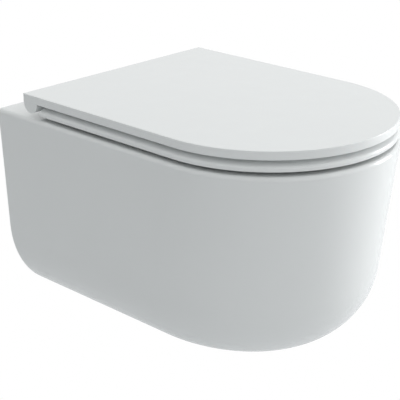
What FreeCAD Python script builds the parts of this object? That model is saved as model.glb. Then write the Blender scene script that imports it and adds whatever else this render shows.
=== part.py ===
import FreeCAD, Part
import math
import os

import Sketcher
from FreeCAD import Placement, Rotation, Vector

# Wall hung toilet.  +Z is up and the bowl points towards -Y.  The wall face is the plane Y = 0,
# and the origin lies on it, midway between the two wall studs.

# ---------------------------------------------------------------- driving sizes, millimetres
SIZES = {
    # glazed casting: its D outline at the ledge, and at the foot before the foot is rounded
    "ledge_level": 80,
    "pan_height": 307,
    "pan_half_width": 183.5,
    "pan_reach": 531.5,
    "pan_straight": 346,
    "foot_half_width": 169.6,
    "foot_reach": 502,
    "foot_straight": 275.5,
    "foot_rise": 123.5,
    "foot_side_inset": 103.5,
    "foot_front_inset": 141,
    "rim_round": 6,
    "pan_wall": 11,
    "top_plate": 14,
    # bowl, egg shaped in plan about its widest line
    "bowl_half_width": 138,
    "bowl_front": 168,
    "bowl_rear": 160,
    "bowl_centre": 322,
    "bowl_depth": 292,
    "bowl_wall": 10,
    "bowl_steep": 190,
    "bowl_narrow": 200,
    "sump_radius": 32,
    "sump_round": 24,
    "bowl_rim_round": 7,
    # trapway and the two pipe ends
    "trap_radius": 26,
    "trap_wall": 10,
    "trap_low_level": 185,
    "trap_crest_level": 83,
    "trap_start": 318,
    "trap_low_corner": 232,
    "trap_crest_corner": 150,
    "trap_bend": 60,
    "trap_joint_gap": 30,
    "crest_joint": 120,
    "flare_start": 96,
    "flare_end": 62,
    "flare_step": 1,
    "outlet_level": 100,
    "outlet_radius": 51,
    "outlet_bore": 42,
    "outlet_setback": 8,
    "inlet_level": 35,
    "inlet_bore": 27.5,
    "inlet_wall": 10,
    "inlet_setback": 14,
    "inlet_depth": 60,
    "seal_bore": 22.6,
    "seal_length": 26,
    "seal_flange": 2.5,
    "seal_lip": 3,
    "flush_bore": 20,
    "hood_half_width": 38,
    "hood_height": 40,
    "hood_reach": 196,
    "hood_wall": 4,
    "hood_gap": 0.4,
    "hood_spigot_start": 130,
    "hood_spigot_length": 42,
    "web_setback": 52,
    "web_thickness": 12,
    "web_half_width": 54,
    "web_joint": 25,
    # wall fixing
    "stud_spacing": 180,
    "stud_hole": 6.5,
    "bracket_margin": 18.75,
    "bracket_length": 112,
    "bracket_drop": 28,
    "bracket_tip": 14,
    "bracket_plate": 4,
    "bracket_flange": 3,
    "stud_nut_bore": 6.1,
    "stud_nut_flats": 19,
    "stud_nut_height": 10,
    "stud_washer_radius": 12,
    "stud_washer_height": 2.5,
    # clamp screws under the hinge posts
    "post_spacing": 155,
    "post_setback": 94.5,
    "clamp_hole": 7,
    "counterbore_radius": 11.5,
    "counterbore_depth": 8,
    "clamp_washer_radius": 11,
    "clamp_washer_height": 1.5,
    "clamp_head_radius": 9.5,
    "clamp_head_height": 6,
    "clamp_shank": 5,
    "clamp_nut_flats": 17,
    "clamp_nut_height": 8,
    "clamp_end": 4,
    "hinge_stud_radius": 3,
    "hinge_stud_depth": 16,
    "hinge_stud_rise": 10,
    # hinge
    "hinge_level": 101.5,
    "gasket_height": 1,
    "gasket_radius": 13,
    "foot_radius": 12,
    "foot_height": 3,
    "post_width": 24,
    "post_depth": 13,
    "hub_radius": 8,
    "hub_width": 36,
    "tongue_height": 5.3,
    "tongue_drop": 1.2,
    "damper_radius": 6.6,
    "pin_radius": 3,
    "pin_length": 32,
    "pin_grip": 8,
    "lug_width": 8.5,
    "bush_radius": 4.5,
    "bush_depth": 20,
    # seat, whose outline the lid shares
    "seat_half_width": 180,
    "seat_front": 528.5,
    "seat_rear": 89,
    "seat_bottom": 86.1,
    "seat_thickness": 14.2,
    "seat_hole_half": 112,
    "seat_hole_front": 466,
    "seat_hole_rear": 190,
    "seat_edge_round": 9,
    "seat_hole_round": 6,
    "seat_relief": 6,
    "seat_relief_rim": 12,
    "seat_notch_gap": 3,
    "seat_buffer_radius": 9,
    "seat_buffer_inset": 4,
    # lid
    "lid_rear": 55.5,
    "lid_bottom": 101.8,
    "lid_thickness": 11.7,
    "lid_plate": 5.2,
    "lid_rim": 16,
    "lid_edge_round": 1,
    "roll_radius": 14.25,
    "lid_skin": 3.5,
    "lid_buffer_radius": 6,
    "buffer_rear": 230,
    # clearances
    "running_gap": 0.05,
    "fit_gap": 0.05,
    "china_gap": 0.3,
    "side_gap": 0.5,
    "seat_gap": 0.2,
}

SHEET = "sizes"
SIDES = {"left": -1, "right": 1}

doc = FreeCAD.newDocument("wall_hung_toilet")
sheet = doc.addObject("Spreadsheet::Sheet", SHEET)
for row, (alias, number) in enumerate(SIZES.items(), start=1):
    sheet.set(f"A{row}", alias)
    sheet.set(f"B{row}", str(number))
    sheet.setAlias(f"B{row}", alias)
doc.recompute()


def size(alias):
    """The number in the sheet's cell of that name."""
    return float(sheet.get(alias))


def named(text):
    """An expression with every size's name turned into a reference to the sheet."""
    words = []
    word = ""
    for letter in text + " ":
        if letter.isalnum() or letter == "_":
            word += letter
            continue
        words.append(f"{SHEET}.{word}" if word in SIZES else word)
        words.append(letter)
        word = ""
    return "".join(words).strip()


def value(text):
    """What an expression of sizes comes to now."""
    return float(sheet.evalExpression(named(text)))


def bind(thing, **properties):
    """Bind properties to expressions of sizes."""
    for name, text in properties.items():
        thing.setExpression(name.replace("__", "."), named(str(text)))
    return thing


def place(thing, x="0", y="0", level="0"):
    """Bind where a primitive stands."""
    return bind(thing, Placement__Base__x=x, Placement__Base__y=y, Placement__Base__z=level)


# ---------------------------------------------------------------- solid primitives
def cylinder(name, radius, length, x="0", y="0", level="0", along="z"):
    thing = doc.addObject("Part::Cylinder", name)
    turn = {
        "z": Rotation(),
        "x": Rotation(Vector(0, 1, 0), 90),
        "-y": Rotation(Vector(1, 0, 0), 90),
    }[along]
    thing.Placement = Placement(Vector(), turn)
    bind(thing, Radius=radius, Height=length)
    return place(thing, x, y, level)


def box(name, low, spans):
    thing = doc.addObject("Part::Box", name)
    bind(thing, Length=spans[0], Width=spans[1], Height=spans[2])
    return place(thing, *low)


def hexagon(name, flats, height, bore, x, y, level, along="z"):
    """A plain nut: a hexagonal prism with a round bore."""
    prism = doc.addObject("Part::Prism", name + "_prism")
    prism.Polygon = 6
    turn = Rotation() if along == "z" else Rotation(Vector(1, 0, 0), 90)
    prism.Placement = Placement(Vector(), turn)
    bind(prism, Circumradius=f"({flats}) / 2 / cos(30)", Height=height)
    place(prism, x, y, level)
    hole = cylinder(name + "_bore", bore, height, x, y, level, along)
    return cut(name, prism, [hole])


def ring(name, radius, bore, height, x, y, level, along="z"):
    disc = cylinder(name + "_disc", radius, height, x, y, level, along)
    hole = cylinder(name + "_hole", bore, height, x, y, level, along)
    return cut(name, disc, [hole])


def in_turn(kind, name, first, others):
    """Booleans one after another, each of two solids only."""
    whole = first
    for step, other in enumerate(others, start=1):
        both = doc.addObject(kind, name if step == len(others) else f"{name}_{step}")
        both.Base = whole
        both.Tool = other
        both.Refine = False
        whole = both
    return whole


def fuse(name, things):
    return in_turn("Part::Fuse", name, things[0], things[1:])


def cut(name, base, tools):
    return in_turn("Part::Cut", name, base, tools)


def group(name, things):
    """Several separate solids of one kind in one sub-part."""
    many = doc.addObject("Part::Compound", name)
    many.Links = things
    return many


# ---------------------------------------------------------------- bodies made from sketches
def origin_plane(body, role):
    return next(part for part in body.Origin.OriginFeatures if part.Role == role)


def sketch(body, name, role, offset="0"):
    drawing = body.newObject("Sketcher::SketchObject", name)
    drawing.AttachmentSupport = (origin_plane(body, role), "")
    drawing.MapMode = "FlatFace"
    drawing.setExpression("AttachmentOffset.Base.z", named(offset))
    return drawing


def pin_down(drawing, edge, end, across, along):
    """Hold a point of a sketch at two bound distances from the sketch's origin."""
    # geometry -1 and -2 of every sketch are its horizontal and vertical axes
    for kind, text, axis in (("DistanceX", across, -2), ("DistanceY", along, -1)):
        if text == "0":
            drawing.addConstraint(Sketcher.Constraint("PointOnObject", edge, end, axis))
            continue
        at = drawing.addConstraint(Sketcher.Constraint(kind, -1, 1, edge, end, value(text)))
        drawing.setExpression(f"Constraints[{at}]", named(text))


def draw_polygon(drawing, corners):
    """A closed outline of straight lines, each corner at bound distances."""
    points = [Vector(value(across), value(along), 0) for across, along in corners]
    first = drawing.GeometryCount
    count = len(points)
    for step in range(count):
        drawing.addGeometry(Part.LineSegment(points[step], points[(step + 1) % count]), False)
    for step in range(count):
        after = first + (step + 1) % count
        drawing.addConstraint(Sketcher.Constraint("Coincident", first + step, 2, after, 1))
    for step, (across, along) in enumerate(corners):
        pin_down(drawing, first + step, 1, across, along)


def draw_circle(drawing, across, along, radius):
    centre = Vector(value(across), value(along), 0)
    edge = drawing.addGeometry(Part.Circle(centre, Vector(0, 0, 1), value(radius)), False)
    at = drawing.addConstraint(Sketcher.Constraint("Radius", edge, value(radius)))
    drawing.setExpression(f"Constraints[{at}]", named(radius))
    pin_down(drawing, edge, 3, across, along)


def draw_rounded(drawing, half, front, rear, rear_is_round):
    """A D outline, or one that is round at both ends: straight sides and half circle ends.

    half, front and rear are expressions; front and rear are distances from the wall.
    """
    wide = value(half)
    front_centre = Vector(0, wide - value(front), 0)
    up = Vector(0, 0, 1)
    rear_line = -value(rear) - (wide if rear_is_round else 0)
    bow = Part.ArcOfCircle(Part.Circle(front_centre, up, wide), math.pi, 2 * math.pi)
    right = Part.LineSegment(Vector(wide, front_centre.y, 0), Vector(wide, rear_line, 0))
    left = Part.LineSegment(Vector(-wide, rear_line, 0), Vector(-wide, front_centre.y, 0))
    if rear_is_round:
        closing = Part.ArcOfCircle(Part.Circle(Vector(0, rear_line, 0), up, wide), 0, math.pi)
    else:
        closing = Part.LineSegment(right.EndPoint, left.StartPoint)
    first = drawing.GeometryCount
    drawing.addGeometry([bow, right, closing, left], False)
    bow_at, right_at, closing_at, left_at = range(first, first + 4)
    constraint = Sketcher.Constraint
    meet = "Tangent" if rear_is_round else "Coincident"
    drawing.addConstraint([
        constraint("Tangent", bow_at, 2, right_at, 1),
        constraint(meet, right_at, 2, closing_at, 1),
        constraint(meet, closing_at, 2, left_at, 1),
        constraint("Tangent", left_at, 2, bow_at, 1),
        constraint("Vertical", right_at),
        constraint("PointOnObject", bow_at, 3, -2),
    ])
    if not rear_is_round:
        drawing.addConstraint([constraint("Horizontal", closing_at), constraint("Vertical", left_at)])
    pin_down(drawing, right_at, 1, half, f"({half}) - ({front})")
    end_of_right = f"-({rear}) - ({half})" if rear_is_round else f"-({rear})"
    at = drawing.addConstraint(constraint("DistanceY", -1, 1, right_at, 2, value(end_of_right)))
    drawing.setExpression(f"Constraints[{at}]", named(end_of_right))


def pad(body, drawing, length, both_ways=False, reverse=False):
    feature = body.newObject("PartDesign::Pad", drawing.Name + "_pad")
    feature.Profile = drawing
    feature.SideType = "Symmetric" if both_ways else "One side"
    feature.Reversed = reverse
    return bind(feature, Length=length)


def pocket(body, drawing, length, both_ways=False, reverse=False):
    """A pocket, and a check that it takes material away."""
    doc.recompute()
    before = body.Shape.Volume
    feature = body.newObject("PartDesign::Pocket", drawing.Name + "_pocket")
    feature.Profile = drawing
    feature.SideType = "Symmetric" if both_ways else "One side"
    feature.Reversed = reverse
    bind(feature, Length=length)
    doc.recompute()
    if not body.Shape.Volume < before:
        raise ValueError(f"{feature.Name} takes nothing away")
    return feature


def edges_where(shape, test):
    """The names of the edges whose middle and length pass a test."""
    names = []
    for number, edge in enumerate(shape.Edges, start=1):
        middle = edge.valueAt((edge.FirstParameter + edge.LastParameter) / 2)
        if test(middle, edge):
            names.append(f"Edge{number}")
    return names


def at_level(point, level):
    """Whether a point lies on a level, but for rounding."""
    return round(point.z - value(level), 2) == 0


def fillet(body, radius, test):
    doc.recompute()
    base = body.Tip
    names = edges_where(base.Shape, test)
    feature = body.newObject("PartDesign::Fillet", body.Name + "_round")
    feature.Base = (base, names)
    return bind(feature, Radius=radius)


# ---------------------------------------------------------------- smooth forms of the casting
OPEN_BEHIND = 5
OPEN_ABOVE = 4
ROUND_WEIGHT = math.sqrt(0.5)
# weights of the control points of a straight, a quarter round and a free curve
WEIGHTS = {2: (1, 1), 3: (1, ROUND_WEIGHT, 1), 4: (1, 1, 1, 1)}


def shape_feature(name, shape):
    thing = doc.addObject("Part::Feature", name)
    thing.Shape = shape
    return thing


def line(start, end):
    return Part.LineSegment(start, end).toShape()


def curve(points):
    """A straight, quarter round or free edge, by the number of its control points."""
    count = len(points)
    if count == 2:
        return line(*points)
    spline = Part.BSplineCurve()
    spline.buildFromPolesMultsKnots(points, [count, count], [0, 1], False, count - 1, WEIGHTS[count])
    return spline.toShape()


def patch(rows):
    """A face whose two directions are each straight, quarter round or free."""
    down, across = len(rows), len(rows[0])
    weights = [[share * other for other in WEIGHTS[across]] for share in WEIGHTS[down]]
    spline = Part.BSplineSurface()
    spline.buildFromPolesMultsKnots(
        rows, [down, down], [across, across], [0, 1], [0, 1], False, False, down - 1, across - 1, weights)
    return spline.toShape()


def patch_solid(strips):
    """A solid from strips of patches one below the other, flat at its top, floor and open side.

    A strip is two, three or four outlines, an outline is a run of spans, and a span is two, three
    or four control points.
    """
    faces = [patch(rows) for strip in strips for rows in zip(*strip)]
    side_edges = []
    for outline in (strips[0][0], strips[-1][-1]):
        edges = [curve(span) for span in outline]
        start, end = outline[0][0], outline[-1][-1]
        if start != end:
            edges.append(line(end, start))
            side_edges.append(edges[-1])
        faces.append(Part.Face(Part.Wire(edges)))
    if side_edges:
        for strip in strips:
            side_edges.append(curve([outline[0][0] for outline in strip]))
            side_edges.append(curve([outline[-1][-1] for outline in strip]))
        faces.append(Part.Face(Part.Wire(Part.sortEdges(side_edges)[0])))
    skin = Part.Compound(faces)
    skin.sewShape()
    solid = Part.Solid(skin.Shells[0])
    if solid.Volume < 0:
        solid.reverse()
    return solid


def quarter_oval(half, centre, reach, level):
    """Control points of a quarter ellipse, from its side to its tip."""
    tip = centre - reach
    return [Vector(half, centre, level), Vector(half, tip, level), Vector(0, tip, level)]


def mirrored(span):
    """The span on the other side, run the other way so that the outline goes on."""
    return [Vector(-point.x, point.y, point.z) for point in reversed(span)]


def pan_outline(depth, rear, side_inset, front_inset):
    """The pan's D outline at a depth under its ledge, inside the tapered outer face."""
    share = depth / size("pan_height")

    def tapered(at_ledge, at_foot):
        return size(at_ledge) + (size(at_foot) - size(at_ledge)) * share

    half = tapered("pan_half_width", "foot_half_width") - side_inset
    straight = tapered("pan_straight", "foot_straight")
    tip = tapered("pan_reach", "foot_reach") - front_inset
    level = size("ledge_level") - depth
    bow = quarter_oval(half, -straight, tip - straight, level)
    side = [Vector(half, rear, level), bow[0]]
    return [side, bow, mirrored(bow), mirrored(side)]


def pan_form(top, skin, rear, rim=0):
    """The pan's form a skin inside its outer face: rounded rim, tapered wall and rounded foot."""
    shoulder = size("pan_height") - size("foot_rise")
    floor = size("pan_height") - skin

    def outline(depth, side_inset=skin, front_inset=skin):
        return pan_outline(depth, rear, side_inset, front_inset)

    foot = outline(floor, size("foot_side_inset"), size("foot_front_inset"))
    strips = [
        [outline(top + rim), outline(shoulder)],
        [outline(shoulder), outline(floor), foot],
    ]
    if rim:
        strips.insert(0, [outline(top, rim, rim), outline(top), outline(top + rim)])
    return patch_solid(strips)


def bowl_outline(depth, share, outset):
    """The bowl's egg outline: a share of 1 is its full size, and 0 is the round sump."""
    sump = size("sump_radius")
    half, front, rear = (
        sump + (size(at_rim) - sump) * share + outset
        for at_rim in ("bowl_half_width", "bowl_front", "bowl_rear")
    )
    centre = -size("bowl_centre")
    level = size("ledge_level") - depth
    bow = quarter_oval(half, centre, front, level)
    stern = quarter_oval(-half, centre, -rear, level)
    return [bow, mirrored(bow), stern, mirrored(stern)]


def bowl_form(top, outset, rim=0):
    """The bowl's form: an eased rim, steep sides that sweep in to the sump, and a rounded floor."""
    floor = size("bowl_depth") + outset
    corner = size("sump_round") + outset
    steep = size("bowl_steep") + outset / 2
    narrow = size("bowl_narrow") + outset / 2

    def outline(depth, share, extra=0):
        return bowl_outline(depth, share, outset + extra)

    strips = [
        [outline(top + rim, 1), outline(steep, 1), outline(narrow, 0), outline(floor - corner, 0)],
        [outline(floor - corner, 0), outline(floor, 0), outline(floor, 0, -corner)],
    ]
    if rim:
        strips.insert(0, [outline(top, 1, rim), outline(top, 1), outline(top + rim, 1)])
        strips.insert(0, [outline(top - OPEN_ABOVE, 1, rim), outline(top, 1, rim)])
    return patch_solid(strips)


def bent_path(points, radius):
    """Straight runs joined by tangent arcs."""
    edges = []
    start = points[0]
    for corner, after in zip(points[1:-1], points[2:]):
        back = (start - corner).normalize()
        onward = (after - corner).normalize()
        half_turn = (math.pi - back.getAngle(onward)) / 2
        trim = radius * math.tan(half_turn)
        inward = (back + onward).normalize()
        middle = corner + inward * (radius / math.cos(half_turn) - radius)
        edges.append(line(start, corner + back * trim))
        edges.append(Part.Arc(corner + back * trim, middle, corner + onward * trim).toShape())
        start = corner + onward * trim
    edges.append(line(start, points[-1]))
    return Part.Wire(edges)


def round_face_wire(radius, setback, level):
    return Part.Wire(Part.Circle(Vector(0, -setback, level), Vector(0, 1, 0), radius).toShape())


def trap_form(skin):
    """The trapway: along under the dip, up to the crest, then a flare to the outlet's bore."""
    low, crest = -size("trap_low_level"), -size("trap_crest_level")
    route = [
        Vector(0, -size("trap_start"), low),
        Vector(0, -size("trap_low_corner"), low),
        Vector(0, -size("trap_crest_corner"), crest),
        Vector(0, -size("flare_start"), crest),
    ]
    radius = size("trap_radius") + skin
    first = round_face_wire(radius, size("trap_start"), low)
    tube = bent_path(route, size("trap_bend")).makePipeShell([first], True, False)
    narrow = round_face_wire(radius, size("flare_start"), crest)
    outlet = size("outlet_radius") if skin else size("outlet_bore")
    wide = round_face_wire(outlet - size("flare_step"), size("flare_end"), -size("outlet_level"))
    return tube.fuse(Part.makeLoft([narrow, wide], True, True))


# ---------------------------------------------------------------- pan
# The casting is one piece of china.  It is drawn as five pieces of simple form that meet face to
# face on flat cuts: the shroud with its top, the bowl, the trapway's rise, the outlet and the inlet.
UNDER_TOP = "(ledge_level - top_plate)"
FLOOR = "(ledge_level - pan_height + pan_wall)"
TRAP_JOINT = "(bowl_centre - sump_radius - bowl_wall - trap_joint_gap)"
FLUSH_JOINT = "(bowl_centre - bowl_rear - 2 * bowl_wall)"


def make_pan():
    bowl_inside = shape_feature("bowl_inside", bowl_form(0, 0, size("bowl_rim_round")))
    trap_inside = shape_feature("trap_inside", trap_form(0))
    trap_outside = shape_feature("trap_outside", trap_form(size("trap_wall")))
    mouth_space = box("mouth_space", ("-pan_half_width", "-pan_reach", "-pan_height"),
                      ("2 * pan_half_width", f"pan_reach - {TRAP_JOINT}", "pan_height"))
    outlet_space = box("outlet_space", ("-pan_half_width", "-crest_joint", "-pan_height"),
                       ("2 * pan_half_width", "crest_joint", "pan_height"))
    flush_hole = cylinder("flush_hole", "flush_bore", "bowl_centre - bowl_rear + 3 * bowl_wall",
                          level="inlet_level", along="-y")
    under_floor = box("under_floor", ("-pan_half_width", "-pan_reach", f"{FLOOR} - pan_wall"),
                      ("2 * pan_half_width", "pan_reach", "pan_wall"))
    return [
        make_shroud(bowl_inside),
        make_bowl(trap_outside, mouth_space, [bowl_inside, trap_inside, flush_hole, under_floor]),
        cut("pan_trap_rise", trap_outside, [mouth_space, outlet_space, trap_inside, under_floor]),
        make_outlet(trap_outside, outlet_space, trap_inside),
        make_inlet(flush_hole),
    ]


def make_shroud(bowl_inside):
    """Outer skin with its flat top, pierced for the bowl's mouth and the clamp screws."""
    voids = [
        shape_feature("shroud_hollow", pan_form(size("top_plate"), size("pan_wall"), OPEN_BEHIND)),
        bowl_inside,
    ]
    for side, sign in SIDES.items():
        across = f"{sign} * post_spacing / 2"
        voids.append(cylinder(f"clamp_hole_{side}", "clamp_hole", "top_plate * 2",
                              across, "-post_setback", "ledge_level - top_plate * 1.5"))
        voids.append(cylinder(f"counterbore_{side}", "counterbore_radius", "counterbore_depth * 2",
                              across, "-post_setback", "ledge_level - counterbore_depth"))
    return cut("pan_shroud", shape_feature("shroud_outside", pan_form(0, 0, 0, size("rim_round"))), voids)


def make_bowl(trap_outside, mouth_space, voids):
    """Egg shaped bowl under the top, with the trap's mouth at its foot and a boss for the flush."""
    masses = [
        shape_feature("bowl_outside", bowl_form(size("top_plate"), size("bowl_wall"))),
        in_turn("Part::Common", "trap_mouth", trap_outside, [mouth_space]),
        cylinder("flush_boss", "flush_bore + inlet_wall", "4 * bowl_wall",
                 y=f"-{FLUSH_JOINT}", level="inlet_level", along="-y"),
    ]
    return cut("pan_bowl", fuse("bowl_masses", masses), voids)


def make_outlet(trap_outside, outlet_space, trap_inside):
    """Crest and flare to the waste spigot, with a web down to the floor."""
    masses = [
        in_turn("Part::Common", "trap_crest", trap_outside, [outlet_space]),
        cylinder("outlet_spigot", "outlet_radius", "flare_end + 2 - outlet_setback",
                 y="-outlet_setback", level="-outlet_level", along="-y"),
        box("lower_web", ("-web_half_width", "-web_setback - web_thickness", FLOOR),
            ("2 * web_half_width", "web_thickness", f"-web_joint - {FLOOR}")),
    ]
    outlet_hole = cylinder("outlet_hole", "outlet_bore", "flare_end + 2", level="-outlet_level", along="-y")
    return cut("pan_outlet", fuse("outlet_masses", masses), [trap_inside, outlet_hole])


def make_inlet(flush_hole):
    """Socket for the flush pipe's seal and the channel on to the bowl, with a web up to the top."""
    masses = [
        cylinder("inlet_socket", "inlet_bore + inlet_wall", "web_setback + web_thickness - inlet_setback",
                 y="-inlet_setback", level="inlet_level", along="-y"),
        cylinder("flush_channel", "flush_bore + inlet_wall", f"{FLUSH_JOINT} - web_setback",
                 y="-web_setback", level="inlet_level", along="-y"),
        box("upper_web", ("-web_half_width", "-web_setback - web_thickness", "-web_joint"),
            ("2 * web_half_width", "web_thickness", f"{UNDER_TOP} + web_joint")),
    ]
    voids = [
        box("top_space", ("-web_half_width", "-2 * web_setback", UNDER_TOP),
            ("2 * web_half_width", "2 * web_setback", "top_plate")),
        cylinder("inlet_hole", "inlet_bore", "inlet_depth", level="inlet_level", along="-y"),
        flush_hole,
    ]
    return cut("pan_inlet", fuse("inlet_masses", masses), voids)


def make_inlet_seal():
    sleeve = cylinder("seal_sleeve", "inlet_bore - china_gap", "seal_length + seal_flange",
                      y="-inlet_setback + seal_flange", level="inlet_level", along="-y")
    flange = cylinder("seal_flange_disc", "inlet_bore + seal_lip", "seal_flange",
                      y="-inlet_setback + seal_flange", level="inlet_level", along="-y")
    bore = cylinder("seal_bore_hole", "seal_bore", "seal_length + 2 * seal_flange",
                    y="-inlet_setback + seal_flange", level="inlet_level", along="-y")
    return cut("inlet_seal", fuse("seal_body", [sleeve, flange]), [bore])


def make_flush_distributor():
    """A hood over the flush outlet, its back cut to the bowl's wall, with a spigot behind it."""
    block = box("hood_block", ("-hood_half_width", "-hood_reach", "inlet_level - hood_height / 2"),
                ("2 * hood_half_width", "hood_reach - web_setback", "hood_height"))
    within = shape_feature("bowl_clearance", bowl_form(0, -size("hood_gap")))
    hood = in_turn("Part::Common", "hood", block, [within])
    chamber = box("hood_chamber",
                  ("-hood_half_width - 5", "-hood_reach + hood_wall",
                   "inlet_level - hood_height / 2 + hood_wall"),
                  ("2 * hood_half_width + 10", "hood_reach - web_setback", "hood_height - 2 * hood_wall"))
    open_hood = cut("open_hood", hood, [chamber])
    spigot = ring("hood_spigot", "flush_bore - china_gap", "flush_bore - hood_wall", "hood_spigot_length",
                  "0", "-hood_spigot_start", "inlet_level", along="-y")
    return fuse("flush_distributor", [open_hood, spigot])


# ---------------------------------------------------------------- wall fixing
BRACKET_MIDDLE = "((stud_spacing + post_spacing) / 4)"
BRACKET_WIDTH = "(abs(stud_spacing - post_spacing) / 2 + 2 * bracket_margin)"


def make_bracket(side, sign):
    """A folded steel bracket: plate on the wall, arm under the ledge, a flange down each edge."""
    body = doc.addObject("PartDesign::Body", f"wall_bracket_{side}")
    blank = sketch(body, f"bracket_blank_{side}", "YZ_Plane")
    draw_polygon(blank, [
        ("0", "-bracket_drop"),
        ("0", UNDER_TOP),
        ("-bracket_length", UNDER_TOP),
        ("-bracket_length", f"{UNDER_TOP} - bracket_tip"),
        ("-3 * bracket_plate", "-bracket_drop"),
    ])
    pad(body, blank, BRACKET_WIDTH, both_ways=True)
    fold = sketch(body, f"bracket_fold_{side}", "YZ_Plane")
    draw_polygon(fold, [
        ("-bracket_plate", "-2 * bracket_drop"),
        ("-bracket_plate", f"{UNDER_TOP} - bracket_plate"),
        ("-2 * bracket_length", f"{UNDER_TOP} - bracket_plate"),
        ("-2 * bracket_length", "-2 * bracket_drop"),
    ])
    pocket(body, fold, f"{BRACKET_WIDTH} - 2 * bracket_flange", both_ways=True)
    stud_hole = sketch(body, f"bracket_stud_hole_{side}", "XZ_Plane")
    draw_circle(stud_hole, f"{sign} * (stud_spacing / 2 - {BRACKET_MIDDLE})", "0", "stud_hole")
    pocket(body, stud_hole, "4 * bracket_plate", both_ways=True)
    clamp = sketch(body, f"bracket_clamp_hole_{side}", "XY_Plane", UNDER_TOP)
    draw_circle(clamp, f"{sign} * (post_spacing / 2 - {BRACKET_MIDDLE})", "-post_setback",
                "clamp_shank + 0.5")
    pocket(body, clamp, "4 * bracket_plate", both_ways=True)
    bind(body, Placement__Base__x=f"{sign} * {BRACKET_MIDDLE}")
    return body


def pair(name, make_one, spacing):
    """Two like pieces, one to each side of the middle."""
    pieces = [make_one(f"{name}_{side}", f"{sign} * {spacing} / 2") for side, sign in SIDES.items()]
    return group(name, pieces)


def make_stud_washer(name, across):
    return ring(name, "stud_washer_radius", "stud_hole", "stud_washer_height",
                across, "-bracket_plate", "0", along="-y")


def make_stud_nut(name, across):
    return hexagon(name, "stud_nut_flats", "stud_nut_height", "stud_nut_bore",
                   across, "-bracket_plate - stud_washer_height", "0", along="-y")


def make_clamp_washer(name, across):
    return ring(name, "clamp_washer_radius", "clamp_shank + 0.3", "clamp_washer_height",
                across, "-post_setback", "ledge_level - counterbore_depth")


def make_clamp_screw(name, across):
    """Flush headed screw, bored and tapped from above for the hinge stud."""
    seat = "ledge_level - counterbore_depth + clamp_washer_height"
    foot = "ledge_level - top_plate - bracket_plate - clamp_nut_height - clamp_end"
    head = cylinder(name + "_head", "clamp_head_radius", "clamp_head_height",
                    across, "-post_setback", seat)
    shank = cylinder(name + "_shank", "clamp_shank", f"{seat} - ({foot}) + clamp_head_height / 2",
                     across, "-post_setback", foot)
    bore = cylinder(name + "_socket", "hinge_stud_radius + fit_gap", "hinge_stud_depth * 2",
                    across, "-post_setback", "ledge_level - hinge_stud_depth - 1")
    return cut(name, fuse(name + "_blank", [head, shank]), [bore])


def make_clamp_nut(name, across):
    return hexagon(name, "clamp_nut_flats", "clamp_nut_height", "clamp_shank + fit_gap",
                   across, "-post_setback", "ledge_level - top_plate - bracket_plate - clamp_nut_height")


def make_hinge_stud(name, across):
    return cylinder(name, "hinge_stud_radius", "hinge_stud_depth + gasket_height + hinge_stud_rise",
                    across, "-post_setback", "ledge_level - hinge_stud_depth")


def make_post_gasket(name, across):
    return ring(name, "gasket_radius", "hinge_stud_radius + 0.5", "gasket_height",
                across, "-post_setback", "ledge_level")


# ---------------------------------------------------------------- hinge
AXIS_SETBACK = "(lid_rear + roll_radius)"
SLOT_HALF = "(hub_width / 2 + 2 * side_gap + lug_width)"
LUG_MIDDLE = "(hub_width / 2 + side_gap + lug_width / 2)"


def make_hinge_post(side, sign):
    """Cast post in front of the axis, with a tongue back to the hub that holds the damper."""
    body = doc.addObject("PartDesign::Body", f"hinge_post_{side}")
    base = "(ledge_level + gasket_height)"
    tongue_top = "(hinge_level - tongue_drop)"
    foot = sketch(body, f"post_foot_{side}", "XY_Plane", base)
    draw_circle(foot, "0", "-post_setback", "foot_radius")
    pad(body, foot, "foot_height")
    upright = sketch(body, f"post_upright_{side}", "YZ_Plane")
    draw_polygon(upright, [
        ("-post_setback - post_depth / 2", base + " + foot_height / 2"),
        ("-post_setback - post_depth / 2", tongue_top),
        ("-post_setback + post_depth / 2", tongue_top),
        ("-post_setback + post_depth / 2", base + " + foot_height / 2"),
    ])
    pad(body, upright, "post_width", both_ways=True)
    tongue = sketch(body, f"post_tongue_{side}", "YZ_Plane")
    draw_polygon(tongue, [
        ("-post_setback - post_depth / 2", tongue_top + " - tongue_height"),
        ("-post_setback - post_depth / 2", tongue_top),
        (f"-{AXIS_SETBACK}", tongue_top),
        (f"-{AXIS_SETBACK}", tongue_top + " - tongue_height"),
    ])
    pad(body, tongue, "hub_width", both_ways=True)
    hub = sketch(body, f"post_hub_{side}", "YZ_Plane")
    draw_circle(hub, f"-{AXIS_SETBACK}", "hinge_level", "hub_radius")
    pad(body, hub, "hub_width", both_ways=True)
    damper_bore = sketch(body, f"post_damper_bore_{side}", "YZ_Plane")
    draw_circle(damper_bore, f"-{AXIS_SETBACK}", "hinge_level", "damper_radius + fit_gap")
    pocket(body, damper_bore, "hub_width * 2", both_ways=True)
    stud_bore = sketch(body, f"post_stud_bore_{side}", "XY_Plane", base)
    draw_circle(stud_bore, "0", "-post_setback", "hinge_stud_radius + fit_gap")
    pocket(body, stud_bore, "hinge_stud_rise + 0.5", reverse=True)
    bind(body, Placement__Base__x=f"{sign} * post_spacing / 2")
    return body


def on_axis(name, radius, bore, start, length):
    """A bush, barrel or pin along the hinge axis, from its own start across the part."""
    where = (start, f"-{AXIS_SETBACK}", "hinge_level")
    if bore:
        return ring(name, radius, bore, length, *where, along="x")
    return cylinder(name, radius, length, *where, along="x")


def make_damper(side, sign):
    start = f"{sign} * post_spacing / 2 - hub_width / 2"
    return on_axis(f"rotary_damper_{side}", "damper_radius", "pin_radius + running_gap", start, "hub_width")


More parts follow.
